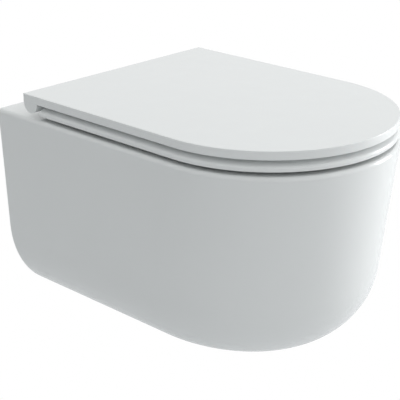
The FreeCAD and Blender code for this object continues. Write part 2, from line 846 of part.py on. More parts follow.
def both_ends(name, middle, near, length, radius, bore=None):
    """Two like pieces on the axis, one to each side of a hinge post's middle."""
    inner = on_axis(f"{name}_a", radius, bore, f"{middle} - ({near}) - ({length})", length)
    outer = on_axis(f"{name}_b", radius, bore, f"{middle} + ({near})", length)
    return [inner, outer]


def make_lug_bushes():
    bushes = []
    for side, sign in SIDES.items():
        bushes += both_ends(f"lug_bush_{side}", f"{sign} * post_spacing / 2", "hub_width / 2 + side_gap",
                            "lug_width", "bush_radius", "pin_radius + running_gap")
    return group("lug_bushes", bushes)


def make_roll_bushes():
    bushes = []
    for side, sign in SIDES.items():
        bushes += both_ends(f"roll_bush_{side}", f"{sign} * post_spacing / 2", SLOT_HALF,
                            "bush_depth", "bush_radius", "pin_radius + running_gap")
    return group("roll_bushes", bushes)


def make_hinge_pins(name, side):
    middle = f"{SIDES[side]} * post_spacing / 2"
    near = "hub_width / 2 - pin_grip"
    return group(name, both_ends(f"{name}_stub", middle, near, "pin_length", "pin_radius"))


# ---------------------------------------------------------------- seat
RING_MIDDLE = "((seat_half_width + seat_hole_half) / 2)"
BOW_CENTRE = "(seat_front - seat_half_width)"


def make_seat_ring():
    """Slim ring with a rounded upper edge, notched round the posts, with a lug each side of them."""
    body = doc.addObject("PartDesign::Body", "seat_ring")
    outline = sketch(body, "seat_outline", "XY_Plane", "seat_bottom")
    draw_rounded(outline, "seat_half_width", "seat_front", "seat_rear", False)
    draw_rounded(outline, "seat_hole_half", "seat_hole_front", "seat_hole_rear", True)
    pad(body, outline, "seat_thickness")
    top = "seat_bottom + seat_thickness"
    rear = -value("seat_rear + seat_edge_round")

    def round_hole(edge):
        return edge.BoundBox.XMax < value(RING_MIDDLE)

    fillet(body, "seat_edge_round",
           lambda at, edge: at_level(at, top) and at.y < rear and not round_hole(edge))
    fillet(body, "seat_hole_round", lambda at, edge: at_level(at, top) and round_hole(edge))
    relief = sketch(body, "seat_relief_groove", "XY_Plane", "seat_bottom")
    draw_rounded(relief, "seat_half_width - seat_relief_rim", "seat_front - seat_relief_rim",
                 "seat_rear + 3 * seat_relief_rim", False)
    draw_rounded(relief, "seat_hole_half + seat_relief_rim", "seat_hole_front + seat_relief_rim",
                 "seat_hole_rear - seat_relief_rim", True)
    pocket(body, relief, "seat_relief", reverse=True)
    tongue_top = "(hinge_level - tongue_drop)"
    for side, sign in SIDES.items():
        middle = f"{sign} * post_spacing / 2"
        notch = sketch(body, f"seat_notch_{side}", "XY_Plane", "seat_bottom")
        reach = "-post_setback - post_depth / 2 - seat_notch_gap"
        low = f"{middle} - hub_width / 2 - side_gap"
        high = f"{middle} + hub_width / 2 + side_gap"
        behind = "-seat_rear / 2"
        draw_polygon(notch, [(low, reach), (high, reach), (high, behind), (low, behind)])
        pocket(body, notch, "seat_thickness * 3", both_ways=True)
        for end, way in (("inner", -sign), ("outer", sign)):
            across = f"{middle} + {way} * {LUG_MIDDLE}"
            lug = sketch(body, f"lug_{side}_{end}", "YZ_Plane", across)
            draw_polygon(lug, [
                ("-seat_rear - seat_relief_rim", tongue_top + " - tongue_height"),
                ("-seat_rear - seat_relief_rim", tongue_top),
                (f"-{AXIS_SETBACK}", tongue_top),
                (f"-{AXIS_SETBACK}", tongue_top + " - tongue_height"),
            ])
            pad(body, lug, "lug_width", both_ways=True)
            eye = sketch(body, f"lug_eye_{side}_{end}", "YZ_Plane", across)
            draw_circle(eye, f"-{AXIS_SETBACK}", "hinge_level", "hub_radius")
            pad(body, eye, "lug_width", both_ways=True)
            bore = sketch(body, f"lug_bore_{side}_{end}", "YZ_Plane", across)
            draw_circle(bore, f"-{AXIS_SETBACK}", "hinge_level", "bush_radius + fit_gap")
            pocket(body, bore, "lug_width * 1.1", both_ways=True)
    return body


def make_seat_buffers():
    """Four feet in the ring's groove, by its outer edge, that stand on the casting's ledge."""
    buffers = []
    height = "seat_bottom + seat_relief - ledge_level - seat_gap"
    across = "(seat_half_width - seat_relief_rim - seat_buffer_radius - seat_buffer_inset)"
    for side, sign in SIDES.items():
        for end, setback in (("rear", "buffer_rear"), ("front", f"({BOW_CENTRE} + seat_relief_rim)")):
            buffers.append(cylinder(f"seat_buffer_{side}_{end}", "seat_buffer_radius", height,
                                    f"{sign} * {across}", f"-{setback}", "ledge_level + seat_gap"))
    return group("seat_buffers", buffers)


# ---------------------------------------------------------------- lid
def draw_half_round(drawing, across, along, radius, rise):
    """A half round below a centre line, with straight sides up from its ends."""
    centre = Vector(value(across), value(along), 0)
    reach = value(radius)
    top = centre.y + value(rise)
    arc = Part.ArcOfCircle(Part.Circle(centre, Vector(0, 0, 1), reach), math.pi, 2 * math.pi)
    front = Vector(centre.x - reach, top, 0)
    rear = Vector(centre.x + reach, top, 0)
    drawing.addGeometry([
        arc,
        Part.LineSegment(arc.EndPoint, rear),
        Part.LineSegment(rear, front),
        Part.LineSegment(front, arc.StartPoint),
    ], False)
    constraint = Sketcher.Constraint
    drawing.addConstraint([
        constraint("Tangent", 0, 2, 1, 1),
        constraint("Coincident", 1, 2, 2, 1),
        constraint("Coincident", 2, 2, 3, 1),
        constraint("Tangent", 3, 2, 0, 1),
        constraint("Vertical", 1),
        constraint("Vertical", 3),
        constraint("Horizontal", 2),
    ])
    at = drawing.addConstraint(constraint("Radius", 0, reach))
    drawing.setExpression(f"Constraints[{at}]", named(radius))
    pin_down(drawing, 0, 3, across, along)
    at = drawing.addConstraint(constraint("DistanceY", 0, 3, 1, 2, value(rise)))
    drawing.setExpression(f"Constraints[{at}]", named(rise))


def make_lid():
    """Slim lid, hollowed underneath, with a roll along its rear edge slotted round both hinges."""
    body = doc.addObject("PartDesign::Body", "lid")
    outline = sketch(body, "lid_outline", "XY_Plane", "lid_bottom")
    draw_rounded(outline, "seat_half_width", "seat_front", "lid_rear", False)
    pad(body, outline, "lid_thickness")
    roll = sketch(body, "lid_roll", "YZ_Plane")
    draw_half_round(roll, f"-{AXIS_SETBACK}", "hinge_level", "roll_radius", "lid_thickness / 2")
    pad(body, roll, "2 * seat_half_width", both_ways=True)
    fillet(body, "lid_edge_round", lambda at, edge: at_level(at, "lid_bottom + lid_thickness"))
    recess = sketch(body, "lid_recess", "XY_Plane", "lid_bottom")
    draw_rounded(recess, "seat_half_width - lid_rim", "seat_front - lid_rim",
                 "lid_rear + 2 * roll_radius + lid_rim", False)
    pocket(body, recess, "lid_thickness - lid_plate", reverse=True)
    under_skin = "lid_bottom + lid_thickness - lid_skin"
    for side, sign in SIDES.items():
        middle = f"{sign} * post_spacing / 2"
        slot = sketch(body, f"lid_slot_{side}", "YZ_Plane", middle)
        draw_polygon(slot, [
            ("-lid_rear / 2", "ledge_level"),
            ("-lid_rear / 2", under_skin),
            (f"-{AXIS_SETBACK}", under_skin),
            (f"-{AXIS_SETBACK}", "lid_bottom"),
            (f"-{AXIS_SETBACK} - 2 * roll_radius", "lid_bottom"),
            (f"-{AXIS_SETBACK} - 2 * roll_radius", "ledge_level"),
        ])
        pocket(body, slot, f"2 * {SLOT_HALF}", both_ways=True)
        eye = sketch(body, f"lid_eye_{side}", "YZ_Plane", middle)
        draw_circle(eye, f"-{AXIS_SETBACK}", "hinge_level", "hub_radius + side_gap")
        pocket(body, eye, f"2 * {SLOT_HALF}", both_ways=True)
        bore = sketch(body, f"lid_bore_{side}", "YZ_Plane", middle)
        draw_circle(bore, f"-{AXIS_SETBACK}", "hinge_level", "bush_radius + fit_gap")
        pocket(body, bore, f"2 * ({SLOT_HALF} + bush_depth)", both_ways=True)
    return body


def make_lid_buffers():
    """Four feet under the lid that stand on the middle of the ring, two of them on its bow."""
    buffers = []
    level = "seat_bottom + seat_thickness + seat_gap"
    height = f"lid_bottom + lid_thickness - lid_plate - ({level})"
    for side, sign in SIDES.items():
        for end, across, setback in (
            ("rear", RING_MIDDLE, "buffer_rear"),
            ("front", f"{RING_MIDDLE} * cos(45)", f"({BOW_CENTRE} + {RING_MIDDLE} * sin(45))"),
        ):
            buffers.append(cylinder(f"lid_buffer_{side}_{end}", "lid_buffer_radius", height,
                                    f"{sign} * {across}", f"-{setback}", level))
    return group("lid_buffers", buffers)


# ---------------------------------------------------------------- assembly
nodes = [
    *make_pan(),
    make_inlet_seal(),
    make_flush_distributor(),
    pair("stud_washers", make_stud_washer, "stud_spacing"),
    pair("stud_nuts", make_stud_nut, "stud_spacing"),
    pair("clamp_washers", make_clamp_washer, "post_spacing"),
    pair("clamp_screws", make_clamp_screw, "post_spacing"),
    pair("clamp_nuts", make_clamp_nut, "post_spacing"),
    pair("hinge_studs", make_hinge_stud, "post_spacing"),
    pair("post_gaskets", make_post_gasket, "post_spacing"),
    make_lug_bushes(),
    make_roll_bushes(),
    make_hinge_pins("seat_hinge_pins", "right"),
    make_hinge_pins("lid_hinge_pins", "left"),
    make_seat_ring(),
    make_seat_buffers(),
    make_lid(),
    make_lid_buffers(),
]
for side, sign in SIDES.items():
    nodes.append(make_bracket(side, sign))
    nodes.append(make_hinge_post(side, sign))
    nodes.append(make_damper(side, sign))
doc.recompute()

for thing in doc.Objects:
    if "Invalid" in thing.State or "Error" in thing.State:
        raise ValueError(f"{thing.Label}: {thing.State}")
for node in nodes:
    if node.Shape.isNull() or not node.Shape.isValid() or not node.Shape.Solids:
        raise ValueError(f"{node.Label} has no sound solid")

os.makedirs("parts", exist_ok=True)
for node in nodes:
    node.Shape.exportStep(f"parts/{node.Label}.step")
    print(f"{node.Label}: {len(node.Shape.Solids)} solids, {node.Shape.Volume / 1000:.1f} cm3")
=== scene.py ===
import bpy
import bmesh
import math
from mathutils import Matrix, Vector


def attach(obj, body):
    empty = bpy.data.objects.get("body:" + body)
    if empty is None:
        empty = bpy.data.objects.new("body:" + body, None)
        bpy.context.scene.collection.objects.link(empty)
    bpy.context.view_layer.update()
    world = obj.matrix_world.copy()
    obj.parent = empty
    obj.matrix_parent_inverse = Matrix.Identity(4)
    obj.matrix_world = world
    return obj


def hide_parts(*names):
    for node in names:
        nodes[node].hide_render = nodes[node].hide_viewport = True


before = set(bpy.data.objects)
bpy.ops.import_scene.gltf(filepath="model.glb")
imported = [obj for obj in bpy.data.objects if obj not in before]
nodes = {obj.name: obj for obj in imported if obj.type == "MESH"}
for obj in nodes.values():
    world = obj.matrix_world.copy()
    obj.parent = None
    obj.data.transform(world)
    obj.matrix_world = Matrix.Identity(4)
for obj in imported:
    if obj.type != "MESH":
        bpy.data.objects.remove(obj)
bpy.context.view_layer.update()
MM = 0.001


# ---------------------------------------------------------------- colours and nodes
def linear(hex_code):
    """An sRGB hex colour as linear red, green, blue and an alpha of 1."""
    channels = [int(hex_code[at:at + 2], 16) / 255 for at in (1, 3, 5)]
    return [c / 12.92 if c <= 0.04045 else ((c + 0.055) / 1.055) ** 2.4 for c in channels] + [1.0]


def add_node(tree, kind, settings=None, values=None, links=None):
    """One shader node with its settings, its socket values and its incoming links."""
    node = tree.nodes.new(kind)
    for name, setting in (settings or {}).items():
        setattr(node, name, setting)
    for name, number in (values or {}).items():
        node.inputs[name].default_value = number
    for name, source in (links or {}).items():
        tree.links.new(source, node.inputs[name])
    return node


def new_material(name):
    material = bpy.data.materials.new(name)
    material.use_nodes = True
    material.node_tree.nodes.clear()
    return material, material.node_tree


# ---------------------------------------------------------------- camera, light and floor
CAMERA_AT = (-1.1701, -1.3246, 0.5806)
CAMERA_AZIMUTH = -46.829
CAMERA_ELEVATION = 21.560
CAMERA_LENS = 105.81
SENSOR_WIDTH = 36.0
FLOOR_LEVEL = -0.42
FLOOR_SIZE = 12
# strength of the soft surroundings by height, 0 straight down and 1 straight up: nothing from below,
# where the floor lies anyway, a quiet band at eye level, and a broad soft ceiling
FILL_BANDS = ((0.46, 0.0), (0.50, 0.135), (0.71, 0.135), (0.75, 1.0))


def make_camera():
    azimuth, elevation = math.radians(CAMERA_AZIMUTH), math.radians(CAMERA_ELEVATION)
    back = Vector((
        math.sin(azimuth) * math.cos(elevation),
        -math.cos(azimuth) * math.cos(elevation),
        math.sin(elevation),
    ))
    data = bpy.data.cameras.new("camera")
    data.lens = CAMERA_LENS
    data.sensor_width = SENSOR_WIDTH
    camera = bpy.data.objects.new("camera", data)
    camera.location = CAMERA_AT
    camera.rotation_mode = "QUATERNION"
    camera.rotation_quaternion = (-back).to_track_quat("-Z", "Y")
    bpy.context.scene.collection.objects.link(camera)
    bpy.context.scene.camera = camera


def add_panel_light(name, place, target, width, height, power):
    data = bpy.data.lights.new(name, "AREA")
    data.shape = "RECTANGLE"
    data.size = width
    data.size_y = height
    data.energy = power
    lamp = bpy.data.objects.new(name, data)
    lamp.location = place
    lamp.rotation_mode = "QUATERNION"
    lamp.rotation_quaternion = (Vector(target) - Vector(place)).to_track_quat("-Z", "Y")
    bpy.context.scene.collection.objects.link(lamp)


def make_world():
    """Soft white surroundings: plain white wherever the camera or a reflection looks past the part."""
    world = bpy.data.worlds.new("studio")
    bpy.context.scene.world = world
    world.use_nodes = True
    tree = world.node_tree
    tree.nodes.clear()
    path = add_node(tree, "ShaderNodeLightPath")
    seen = add_node(tree, "ShaderNodeMath", {"operation": "MAXIMUM"},
                    links={0: path.outputs["Is Camera Ray"], 1: path.outputs["Is Glossy Ray"]})
    seen = add_node(tree, "ShaderNodeMath", {"operation": "MAXIMUM"},
                    links={0: seen.outputs[0], 1: path.outputs["Is Transmission Ray"]})
    way = add_node(tree, "ShaderNodeTexCoord")
    split = add_node(tree, "ShaderNodeSeparateXYZ", links={0: way.outputs["Generated"]})
    height = add_node(tree, "ShaderNodeMapRange", values={"From Min": -1.0, "From Max": 1.0},
                      links={"Value": split.outputs["Z"]})
    bands = add_node(tree, "ShaderNodeValToRGB", links={"Fac": height.outputs[0]})
    stops = bands.color_ramp.elements
    stops[0].position, stops[1].position = FILL_BANDS[0][0], FILL_BANDS[-1][0]
    for position, _ in FILL_BANDS[1:-1]:
        stops.new(position)
    for stop, (_, level) in zip(stops, FILL_BANDS):
        stop.color = (level, level, level, 1)
    fill = add_node(tree, "ShaderNodeBackground", values={"Color": linear("#fbfdfd")},
                    links={"Strength": bands.outputs[0]})
    white = add_node(tree, "ShaderNodeBackground", values={"Color": linear("#ffffff"), "Strength": 1.0})
    mixed = add_node(tree, "ShaderNodeMixShader",
                     links={0: seen.outputs[0], 1: fill.outputs[0], 2: white.outputs[0]})
    add_node(tree, "ShaderNodeOutputWorld", links={"Surface": mixed.outputs[0]})


def make_floor():
    """A pale floor well below the part, which hangs from its wall."""
    bpy.ops.mesh.primitive_plane_add(size=FLOOR_SIZE, location=(0, 0, FLOOR_LEVEL))
    floor = bpy.context.object
    floor.name = "floor"
    material, tree = new_material("pale_studio_floor")
    path = add_node(tree, "ShaderNodeLightPath")
    matt = add_node(tree, "ShaderNodeBsdfDiffuse", values={"Color": linear("#e4e5e6")})
    glow = add_node(tree, "ShaderNodeEmission", values={"Color": linear("#ffffff"), "Strength": 1.0})
    mixed = add_node(tree, "ShaderNodeMixShader",
                     links={0: path.outputs["Is Camera Ray"], 1: matt.outputs[0], 2: glow.outputs[0]})
    add_node(tree, "ShaderNodeOutputMaterial", links={"Surface": mixed.outputs[0]})
    floor.data.materials.append(material)


def make_studio():
    make_camera()
    make_world()
    make_floor()
    middle = (0, -0.3, 0)
    add_panel_light("right_bank", (2.1, -1.5, 0.5), middle, width=1.0, height=1.6, power=37)
    add_panel_light("front_fill", (-0.3, -2.7, 0.5), middle, width=2.0, height=1.2, power=5)
    bpy.context.scene.view_settings.view_transform = "Standard"


# ---------------------------------------------------------------- places that several pieces share
# The wall is at y = 0 and the part reaches out to -y.  "Across" is a distance from the middle, "back"
# one from the wall.
STUD_ACROSS = 0.090                     # the two wall studs
POST_ACROSS, CLAMP_BACK = 0.0775, 0.0945        # the two clamp screws, with a hinge post on each
AXIS_BACK, AXIS_UP = 0.06975, 0.1015    # the hinge axis
OUTLET_UP, INLET_UP = -0.100, 0.035     # middles of the waste outlet and the flush inlet
HUB_WIDTH = 0.036                       # a post's hub, with one of the seat's lugs on each side of it
SIDE_GAP = 0.0005
LUG_WIDTH = 0.0085
SLOT_HALF = HUB_WIDTH / 2 + 2 * SIDE_GAP + LUG_WIDTH
BUSH_BORE = 0.00455                     # radius of the holes that the bushes sit in
PIN_BORE = 0.00305                      # radius of the holes that run on a pin or a hinge stud


def on_axis(across):
    return across, -AXIS_BACK, AXIS_UP


def on_clamp(across, up=0):
    return across, -CLAMP_BACK, up


# ---------------------------------------------------------------- work in edit mode
QUARTER = 24      # steps in a quarter turn of the large curves
NEAR = 0.00002    # points this near a plane lie on it
SHY = 0.0001      # a joined form stops this short of its neighbour's face, so that no two coincide


def begin(piece):
    """Start shaping a piece: only it is selected, and nothing of its mesh."""
    bpy.ops.object.select_all(action="DESELECT")
    piece.select_set(True)
    bpy.context.view_layer.objects.active = piece
    bpy.ops.object.mode_set(mode="EDIT")
    bpy.ops.mesh.select_mode(type="VERT")
    bpy.ops.mesh.select_all(action="DESELECT")


def end(piece):
    """Weld the piece, turn its faces outwards and leave edit mode."""
    bpy.ops.mesh.select_all(action="SELECT")
    bpy.ops.mesh.remove_doubles(threshold=NEAR / 4)
    bpy.ops.mesh.normals_make_consistent(inside=False)
    bpy.ops.object.mode_set(mode="OBJECT")
    return piece


def pick(piece, test):
    """Select the points of a piece that pass a test of their place."""
    bpy.ops.mesh.select_all(action="DESELECT")
    mesh = bmesh.from_edit_mesh(piece.data)
    for vert in mesh.verts:
        if test(vert.co):
            vert.select_set(True)
    mesh.select_flush_mode()
    bmesh.update_edit_mesh(piece.data)


def start_from(kind, name, **how):
    """Add a primitive at its size and place, with its object left at the origin."""
    bpy.ops.object.select_all(action="DESELECT")
    getattr(bpy.ops.mesh, f"primitive_{kind}_add")(**how)
    piece = bpy.context.object
    piece.name = name
    bpy.ops.object.transform_apply(location=True, rotation=True, scale=True)
    return piece


def shift(x=0.0, y=0.0, z=0.0):
    bpy.ops.transform.translate(value=(x, y, z))


def stretch(x, y, z, about):
    bpy.ops.transform.resize(value=(x, y, z), center_override=about)


def extrude(x=0.0, y=0.0, z=0.0):
    bpy.ops.mesh.extrude_region_move(TRANSFORM_OT_translate={"value": (x, y, z)})


def round_edges(piece, test, width, steps):
    """Round the edges of a block whose two ends pass a test of their places."""
    begin(piece)
    bpy.ops.mesh.select_mode(type="EDGE")
    mesh = bmesh.from_edit_mesh(piece.data)
    for edge in mesh.edges:
        edge.select_set(test(*(vert.co for vert in edge.verts)))
    bmesh.update_edit_mesh(piece.data)
    bpy.ops.mesh.bevel(offset=width, segments=steps, affect="EDGES")
    return end(piece)


def close_off(piece, test):
    """One flat face over the open edges whose points pass a test."""
    pick(piece, test)
    bpy.ops.mesh.edge_face_add()


def round_off(start, corner, finish, steps):
    """Rings on a quarter oval from start to finish, whose tangents there cross at the corner."""
    rings = []
    for step in range(1, steps + 1):
        turn = step / steps * math.pi / 2
        rings.append(tuple(
            (a + b - c) + (c - b) * math.cos(turn) + (c - a) * math.sin(turn)
            for a, c, b in zip(start, corner, finish)
        ))
    return rings


def apply(piece, kind, **settings):
    """Add a modifier, set it and apply it."""
    modifier = piece.modifiers.new(kind.lower(), kind)
    for name, setting in settings.items():
        setattr(modifier, name, setting)
    bpy.context.view_layer.objects.active = piece
    bpy.ops.object.modifier_apply(modifier=modifier.name)
    return piece


def combine(piece, tools, how):
    """Join tools to a piece (UNION) or cut them out of it (DIFFERENCE), and throw them away."""
    for tool in tools:
        apply(piece, "BOOLEAN", object=tool, operation=how, solver="EXACT")
        bpy.data.meshes.remove(tool.data)
    return piece


def smooth(piece, angle=32):
    """Smooth shading that keeps the large flats flat and breaks at real edges."""
    bpy.ops.object.select_all(action="DESELECT")
    piece.select_set(True)
    bpy.context.view_layer.objects.active = piece
    bpy.ops.object.shade_smooth_by_angle(angle=math.radians(angle))
    return apply(piece, "WEIGHTED_NORMAL", mode="FACE_AREA", keep_sharp=True, weight=80)


# ---------------------------------------------------------------- forms raised ring by ring
def d_form(name, rings, rear):
    """A closed D form.  A ring is its level, half width, end of the straights, and tip."""
    level, half, straight, tip = rings[0]
    piece = start_from("circle", name, vertices=4 * QUARTER, radius=1)
    begin(piece)
    pick(piece, lambda at: at.y > NEAR)
    bpy.ops.mesh.delete(type="VERT")
    bpy.ops.mesh.select_all(action="SELECT")
    stretch(half, tip - straight, 1, (0, 0, 0))
    shift(0, -straight, level)
    pick(piece, lambda at: at.y > -straight - NEAR)
    extrude(y=straight - rear)
    for last, ring in zip(rings, rings[1:]):
        pick(piece, lambda at: abs(at.z - last[0]) < NEAR)
        extrude(z=ring[0] - last[0])
        stretch(ring[1] / last[1], 1, 1, (0, 0, 0))
        pick(piece, lambda at: abs(at.z - ring[0]) < NEAR and at.y < -rear - NEAR)
        shift(y=last[2] - ring[2])
        stretch(1, (ring[3] - ring[2]) / (last[3] - last[2]), 1, (0, -ring[2], 0))
    for height in (rings[0][0], rings[-1][0]):
        close_off(piece, lambda at: abs(at.z - height) < NEAR)
    close_off(piece, lambda at: at.y > -rear - NEAR)
    return end(piece)


def egg_form(name, rings, centre):
    """A closed egg form.  A ring is its level, half width, and reach to the front and rear."""
    level, half, front, rear = rings[0]
    piece = start_from("circle", name, vertices=4 * QUARTER, radius=1)
    begin(piece)
    bpy.ops.mesh.select_all(action="SELECT")
    stretch(half, 1, 1, (0, 0, 0))
    pick(piece, lambda at: at.y < -NEAR)
    stretch(1, front, 1, (0, 0, 0))
    pick(piece, lambda at: at.y > NEAR)
    stretch(1, rear, 1, (0, 0, 0))
    bpy.ops.mesh.select_all(action="SELECT")
    shift(0, -centre, level)
    for last, ring in zip(rings, rings[1:]):
        pick(piece, lambda at: abs(at.z - last[0]) < NEAR)
        extrude(z=ring[0] - last[0])
        stretch(ring[1] / last[1], 1, 1, (0, 0, 0))
        pick(piece, lambda at: abs(at.z - ring[0]) < NEAR and at.y < -centre - NEAR)
        stretch(1, ring[2] / last[2], 1, (0, -centre, 0))
        pick(piece, lambda at: abs(at.z - ring[0]) < NEAR and at.y > -centre + NEAR)
        stretch(1, ring[3] / last[3], 1, (0, -centre, 0))
    for height in (rings[0][0], rings[-1][0]):
        close_off(piece, lambda at: abs(at.z - height) < NEAR)
    return end(piece)


def slot_form(name, rings):
    """A closed form round at both ends.  A ring is its level, half width, and end centres."""
    level, half, front, rear = rings[0]
    piece = start_from("circle", name, vertices=4 * QUARTER, radius=half)
    begin(piece)
    pick(piece, lambda at: at.y > NEAR)
    bpy.ops.mesh.delete(type="VERT")
    bpy.ops.mesh.select_all(action="SELECT")
    shift(0, -front, level)
    bpy.ops.mesh.duplicate()
    stretch(1, -1, 1, (0, -(front + rear) / 2, 0))
    for side in (-1, 1):
        pick(piece, lambda at: abs(at.x - side * half) < NEAR)
        bpy.ops.mesh.edge_face_add()
    for last, ring in zip(rings, rings[1:]):
        pick(piece, lambda at: abs(at.z - last[0]) < NEAR)
        extrude(z=ring[0] - last[0])
        grown = ring[1] / last[1]
        for test, middle in ((lambda at: at.y < -(front + rear) / 2, front),
                             (lambda at: at.y > -(front + rear) / 2, rear)):
            pick(piece, lambda at: abs(at.z - ring[0]) < NEAR and test(at))
            stretch(grown, grown, 1, (0, -middle, ring[0]))
    for height in (rings[0][0], rings[-1][0]):
        close_off(piece, lambda at: abs(at.z - height) < NEAR)
    return end(piece)


def turned(name, section, at, along="z", steps=64):
    """A turned piece: its half section of radius and distance is drawn, then spun about its axis."""
    axis = {"x": Vector((1, 0, 0)), "y": Vector((0, 1, 0)), "z": Vector((0, 0, 1))}[along]
    out = Vector((0, 0, 1)) if along == "x" else Vector((1, 0, 0))
    points = [Vector(at) + out * radius + axis * way for radius, way in section]
    # one corner of a small plane is kept as the point that draws the section
    corner = Vector((-0.001, -0.001, 0))
    piece = start_from("plane", name, size=0.002)
    begin(piece)
    pick(piece, lambda at: at.x > 0 or at.y > 0)
    bpy.ops.mesh.delete(type="VERT")
    bpy.ops.mesh.select_all(action="SELECT")
    shift(*(points[0] - corner))
    for before, after in zip(points, points[1:]):
        extrude(*(after - before))
    bpy.ops.mesh.select_all(action="SELECT")
    if all(radius > NEAR for radius, _ in section):
        # the section keeps clear of the axis, so an edge from its end to its start closes it
        bpy.ops.mesh.edge_face_add()
        bpy.ops.mesh.delete(type="ONLY_FACE")
        bpy.ops.mesh.select_all(action="SELECT")
    bpy.ops.mesh.spin(steps=steps, angle=2 * math.pi, center=at, axis=axis)
    return end(piece)


def block(name, low, high):
    """A plain block to be joined to a piece or cut from it."""
    piece = start_from("cube", name, size=1)
    begin(piece)
    bpy.ops.mesh.select_all(action="SELECT")
    stretch(high[0] - low[0], high[1] - low[1], high[2] - low[2], (0, 0, 0))
    shift(*((a + b) / 2 for a, b in zip(low, high)))
    return end(piece)


def rod(name, radius, start, length, along, steps=64):
    """A plain round bar to be joined to a piece or cut from it."""
    return turned(name, [(0, 0), (radius, 0), (radius, length), (0, length)], start, along, steps)


# ---------------------------------------------------------------- the glazed casting
LEDGE = 0.080         # level of the flat top behind the seat
PAN_HEIGHT = 0.307
FOOT_RISE = 0.1235    # height of the rounding from the sides to the foot
# the outline at the ledge, and what is gone of it at the foot: half width, end of the straights, tip
TOP_OUTLINE = (0.1835, 0.346, 0.5315)
FOOT_LOSS = (0.0139, 0.0705, 0.0295)
FOOT_INSETS = (0.1035, 0.141)           # from there in to the flat foot, at the sides and the front
TOP_PLATE = 0.014
PAN_WALL = 0.011
BOWL_CENTRE = 0.322
BOWL_REACH = (0.138, 0.168, 0.160)      # half width, and reach to the front and the rear
SUMP_RADIUS = 0.032
BOWL_FLOOR = 0.292


def pan_ring(depth, side_inset, front_inset):
    """The pan's outline at a depth under its ledge, where the sides taper down to the foot."""
    share = depth / PAN_HEIGHT
    half, straight, tip = (full - loss * share for full, loss in zip(TOP_OUTLINE, FOOT_LOSS))
    return LEDGE - depth, half - side_inset, straight, tip - front_inset


def pan_rings(top, skin, rim):
    """The casting's outside, or its hollow with a skin left round it, from a depth down to the foot."""
    shoulder, floor = PAN_HEIGHT - FOOT_RISE, PAN_HEIGHT - skin
    rings = [pan_ring(top, skin + rim, skin + rim)]
    if rim:
        rings += round_off(rings[0], pan_ring(top, 0, 0), pan_ring(top + rim, 0, 0), 8)
    spans = 6
    for step in range(1, spans + 1):
        rings.append(pan_ring(top + rim + (shoulder - top - rim) * step / spans, skin, skin))
    rings += round_off(rings[-1], pan_ring(floor, skin, skin), pan_ring(floor, *FOOT_INSETS), 20)
    return rings


def bowl_ring(depth, share, outset):
    """The bowl's outline: a share of 1 is its full egg, and 0 its round sump."""
    half, front, rear = (SUMP_RADIUS + (full - SUMP_RADIUS) * share + outset for full in BOWL_REACH)
    return LEDGE - depth, half, front, rear


def bowl_rings(top, outset, rim):
    """The bowl's inside, or its outside with an outset: an egg that sweeps in to the sump."""
    floor, corner = BOWL_FLOOR + outset, 0.024 + outset
    depths = (top + rim, 0.190 + outset / 2, 0.200 + outset / 2, floor - corner)
    rings = []
    if rim:
        rings = [bowl_ring(top - 0.004, 1, outset + rim), bowl_ring(top, 1, outset + rim)]
        rings += round_off(rings[-1], bowl_ring(top, 1, outset), bowl_ring(top + rim, 1, outset), 8)
    else:
        rings = [bowl_ring(top, 1, outset)]
    steps = 24
    for step in range(1, steps + 1):
        t = step / steps    # along a curve whose four control points lie at the depths
        weights = ((1 - t) ** 3, 3 * (1 - t) ** 2 * t, 3 * (1 - t) * t * t, t ** 3)
        depth = sum(weight * at for weight, at in zip(weights, depths))
        rings.append(bowl_ring(depth, weights[0] + weights[1], outset))
    rings += round_off(rings[-1], bowl_ring(floor, 0, outset), bowl_ring(floor, 0, outset - corner), 10)
    return rings


def trap_form(name, radius, flared):
    """The trapway as one bent bar: the low run, the rise, the crest and the flare to the outlet."""
    low, crest, bend = -0.185, -0.083, 0.060
    start, first, second, flare, finish = 0.318, 0.232, 0.150, 0.096, 0.062
    climb = math.atan2(crest - low, first - second)
    trim = bend * math.tan(climb / 2)
    rise = math.hypot(crest - low, first - second) - 2 * trim
    piece = start_from("circle", name, vertices=64, radius=radius, fill_type="NGON",
                       location=(0, -start, low), rotation=(math.pi / 2, 0, 0))
    begin(piece)
    bpy.ops.mesh.select_all(action="SELECT")
    extrude(y=start - first - trim)
    bpy.ops.mesh.spin(steps=14, angle=-climb, center=(0, -first - trim, low + bend), axis=(1, 0, 0))
    extrude(y=rise * math.cos(climb), z=rise * math.sin(climb))
    bpy.ops.mesh.spin(steps=14, angle=climb, center=(0, -second + trim, crest - bend), axis=(1, 0, 0))
    extrude(y=second - trim - flare)
    extrude(y=flare - finish, z=OUTLET_UP - crest)
    stretch(flared / radius, 1, flared / radius, (0, -finish, OUTLET_UP))
    return end(piece)


def pipe_end(name, radius, back, finish, up):
    """A round bar towards the wall, eased at its end for the pipe or the seal that slides on."""
    ease = 0.0015
    section = [(0, back), (radius, back), (radius, finish - 2 * ease),
               (radius - 0.3 * ease, finish - 0.6 * ease), (radius - ease, finish), (0, finish)]
    return turned(name, section, (0, 0, up), "y", 96)


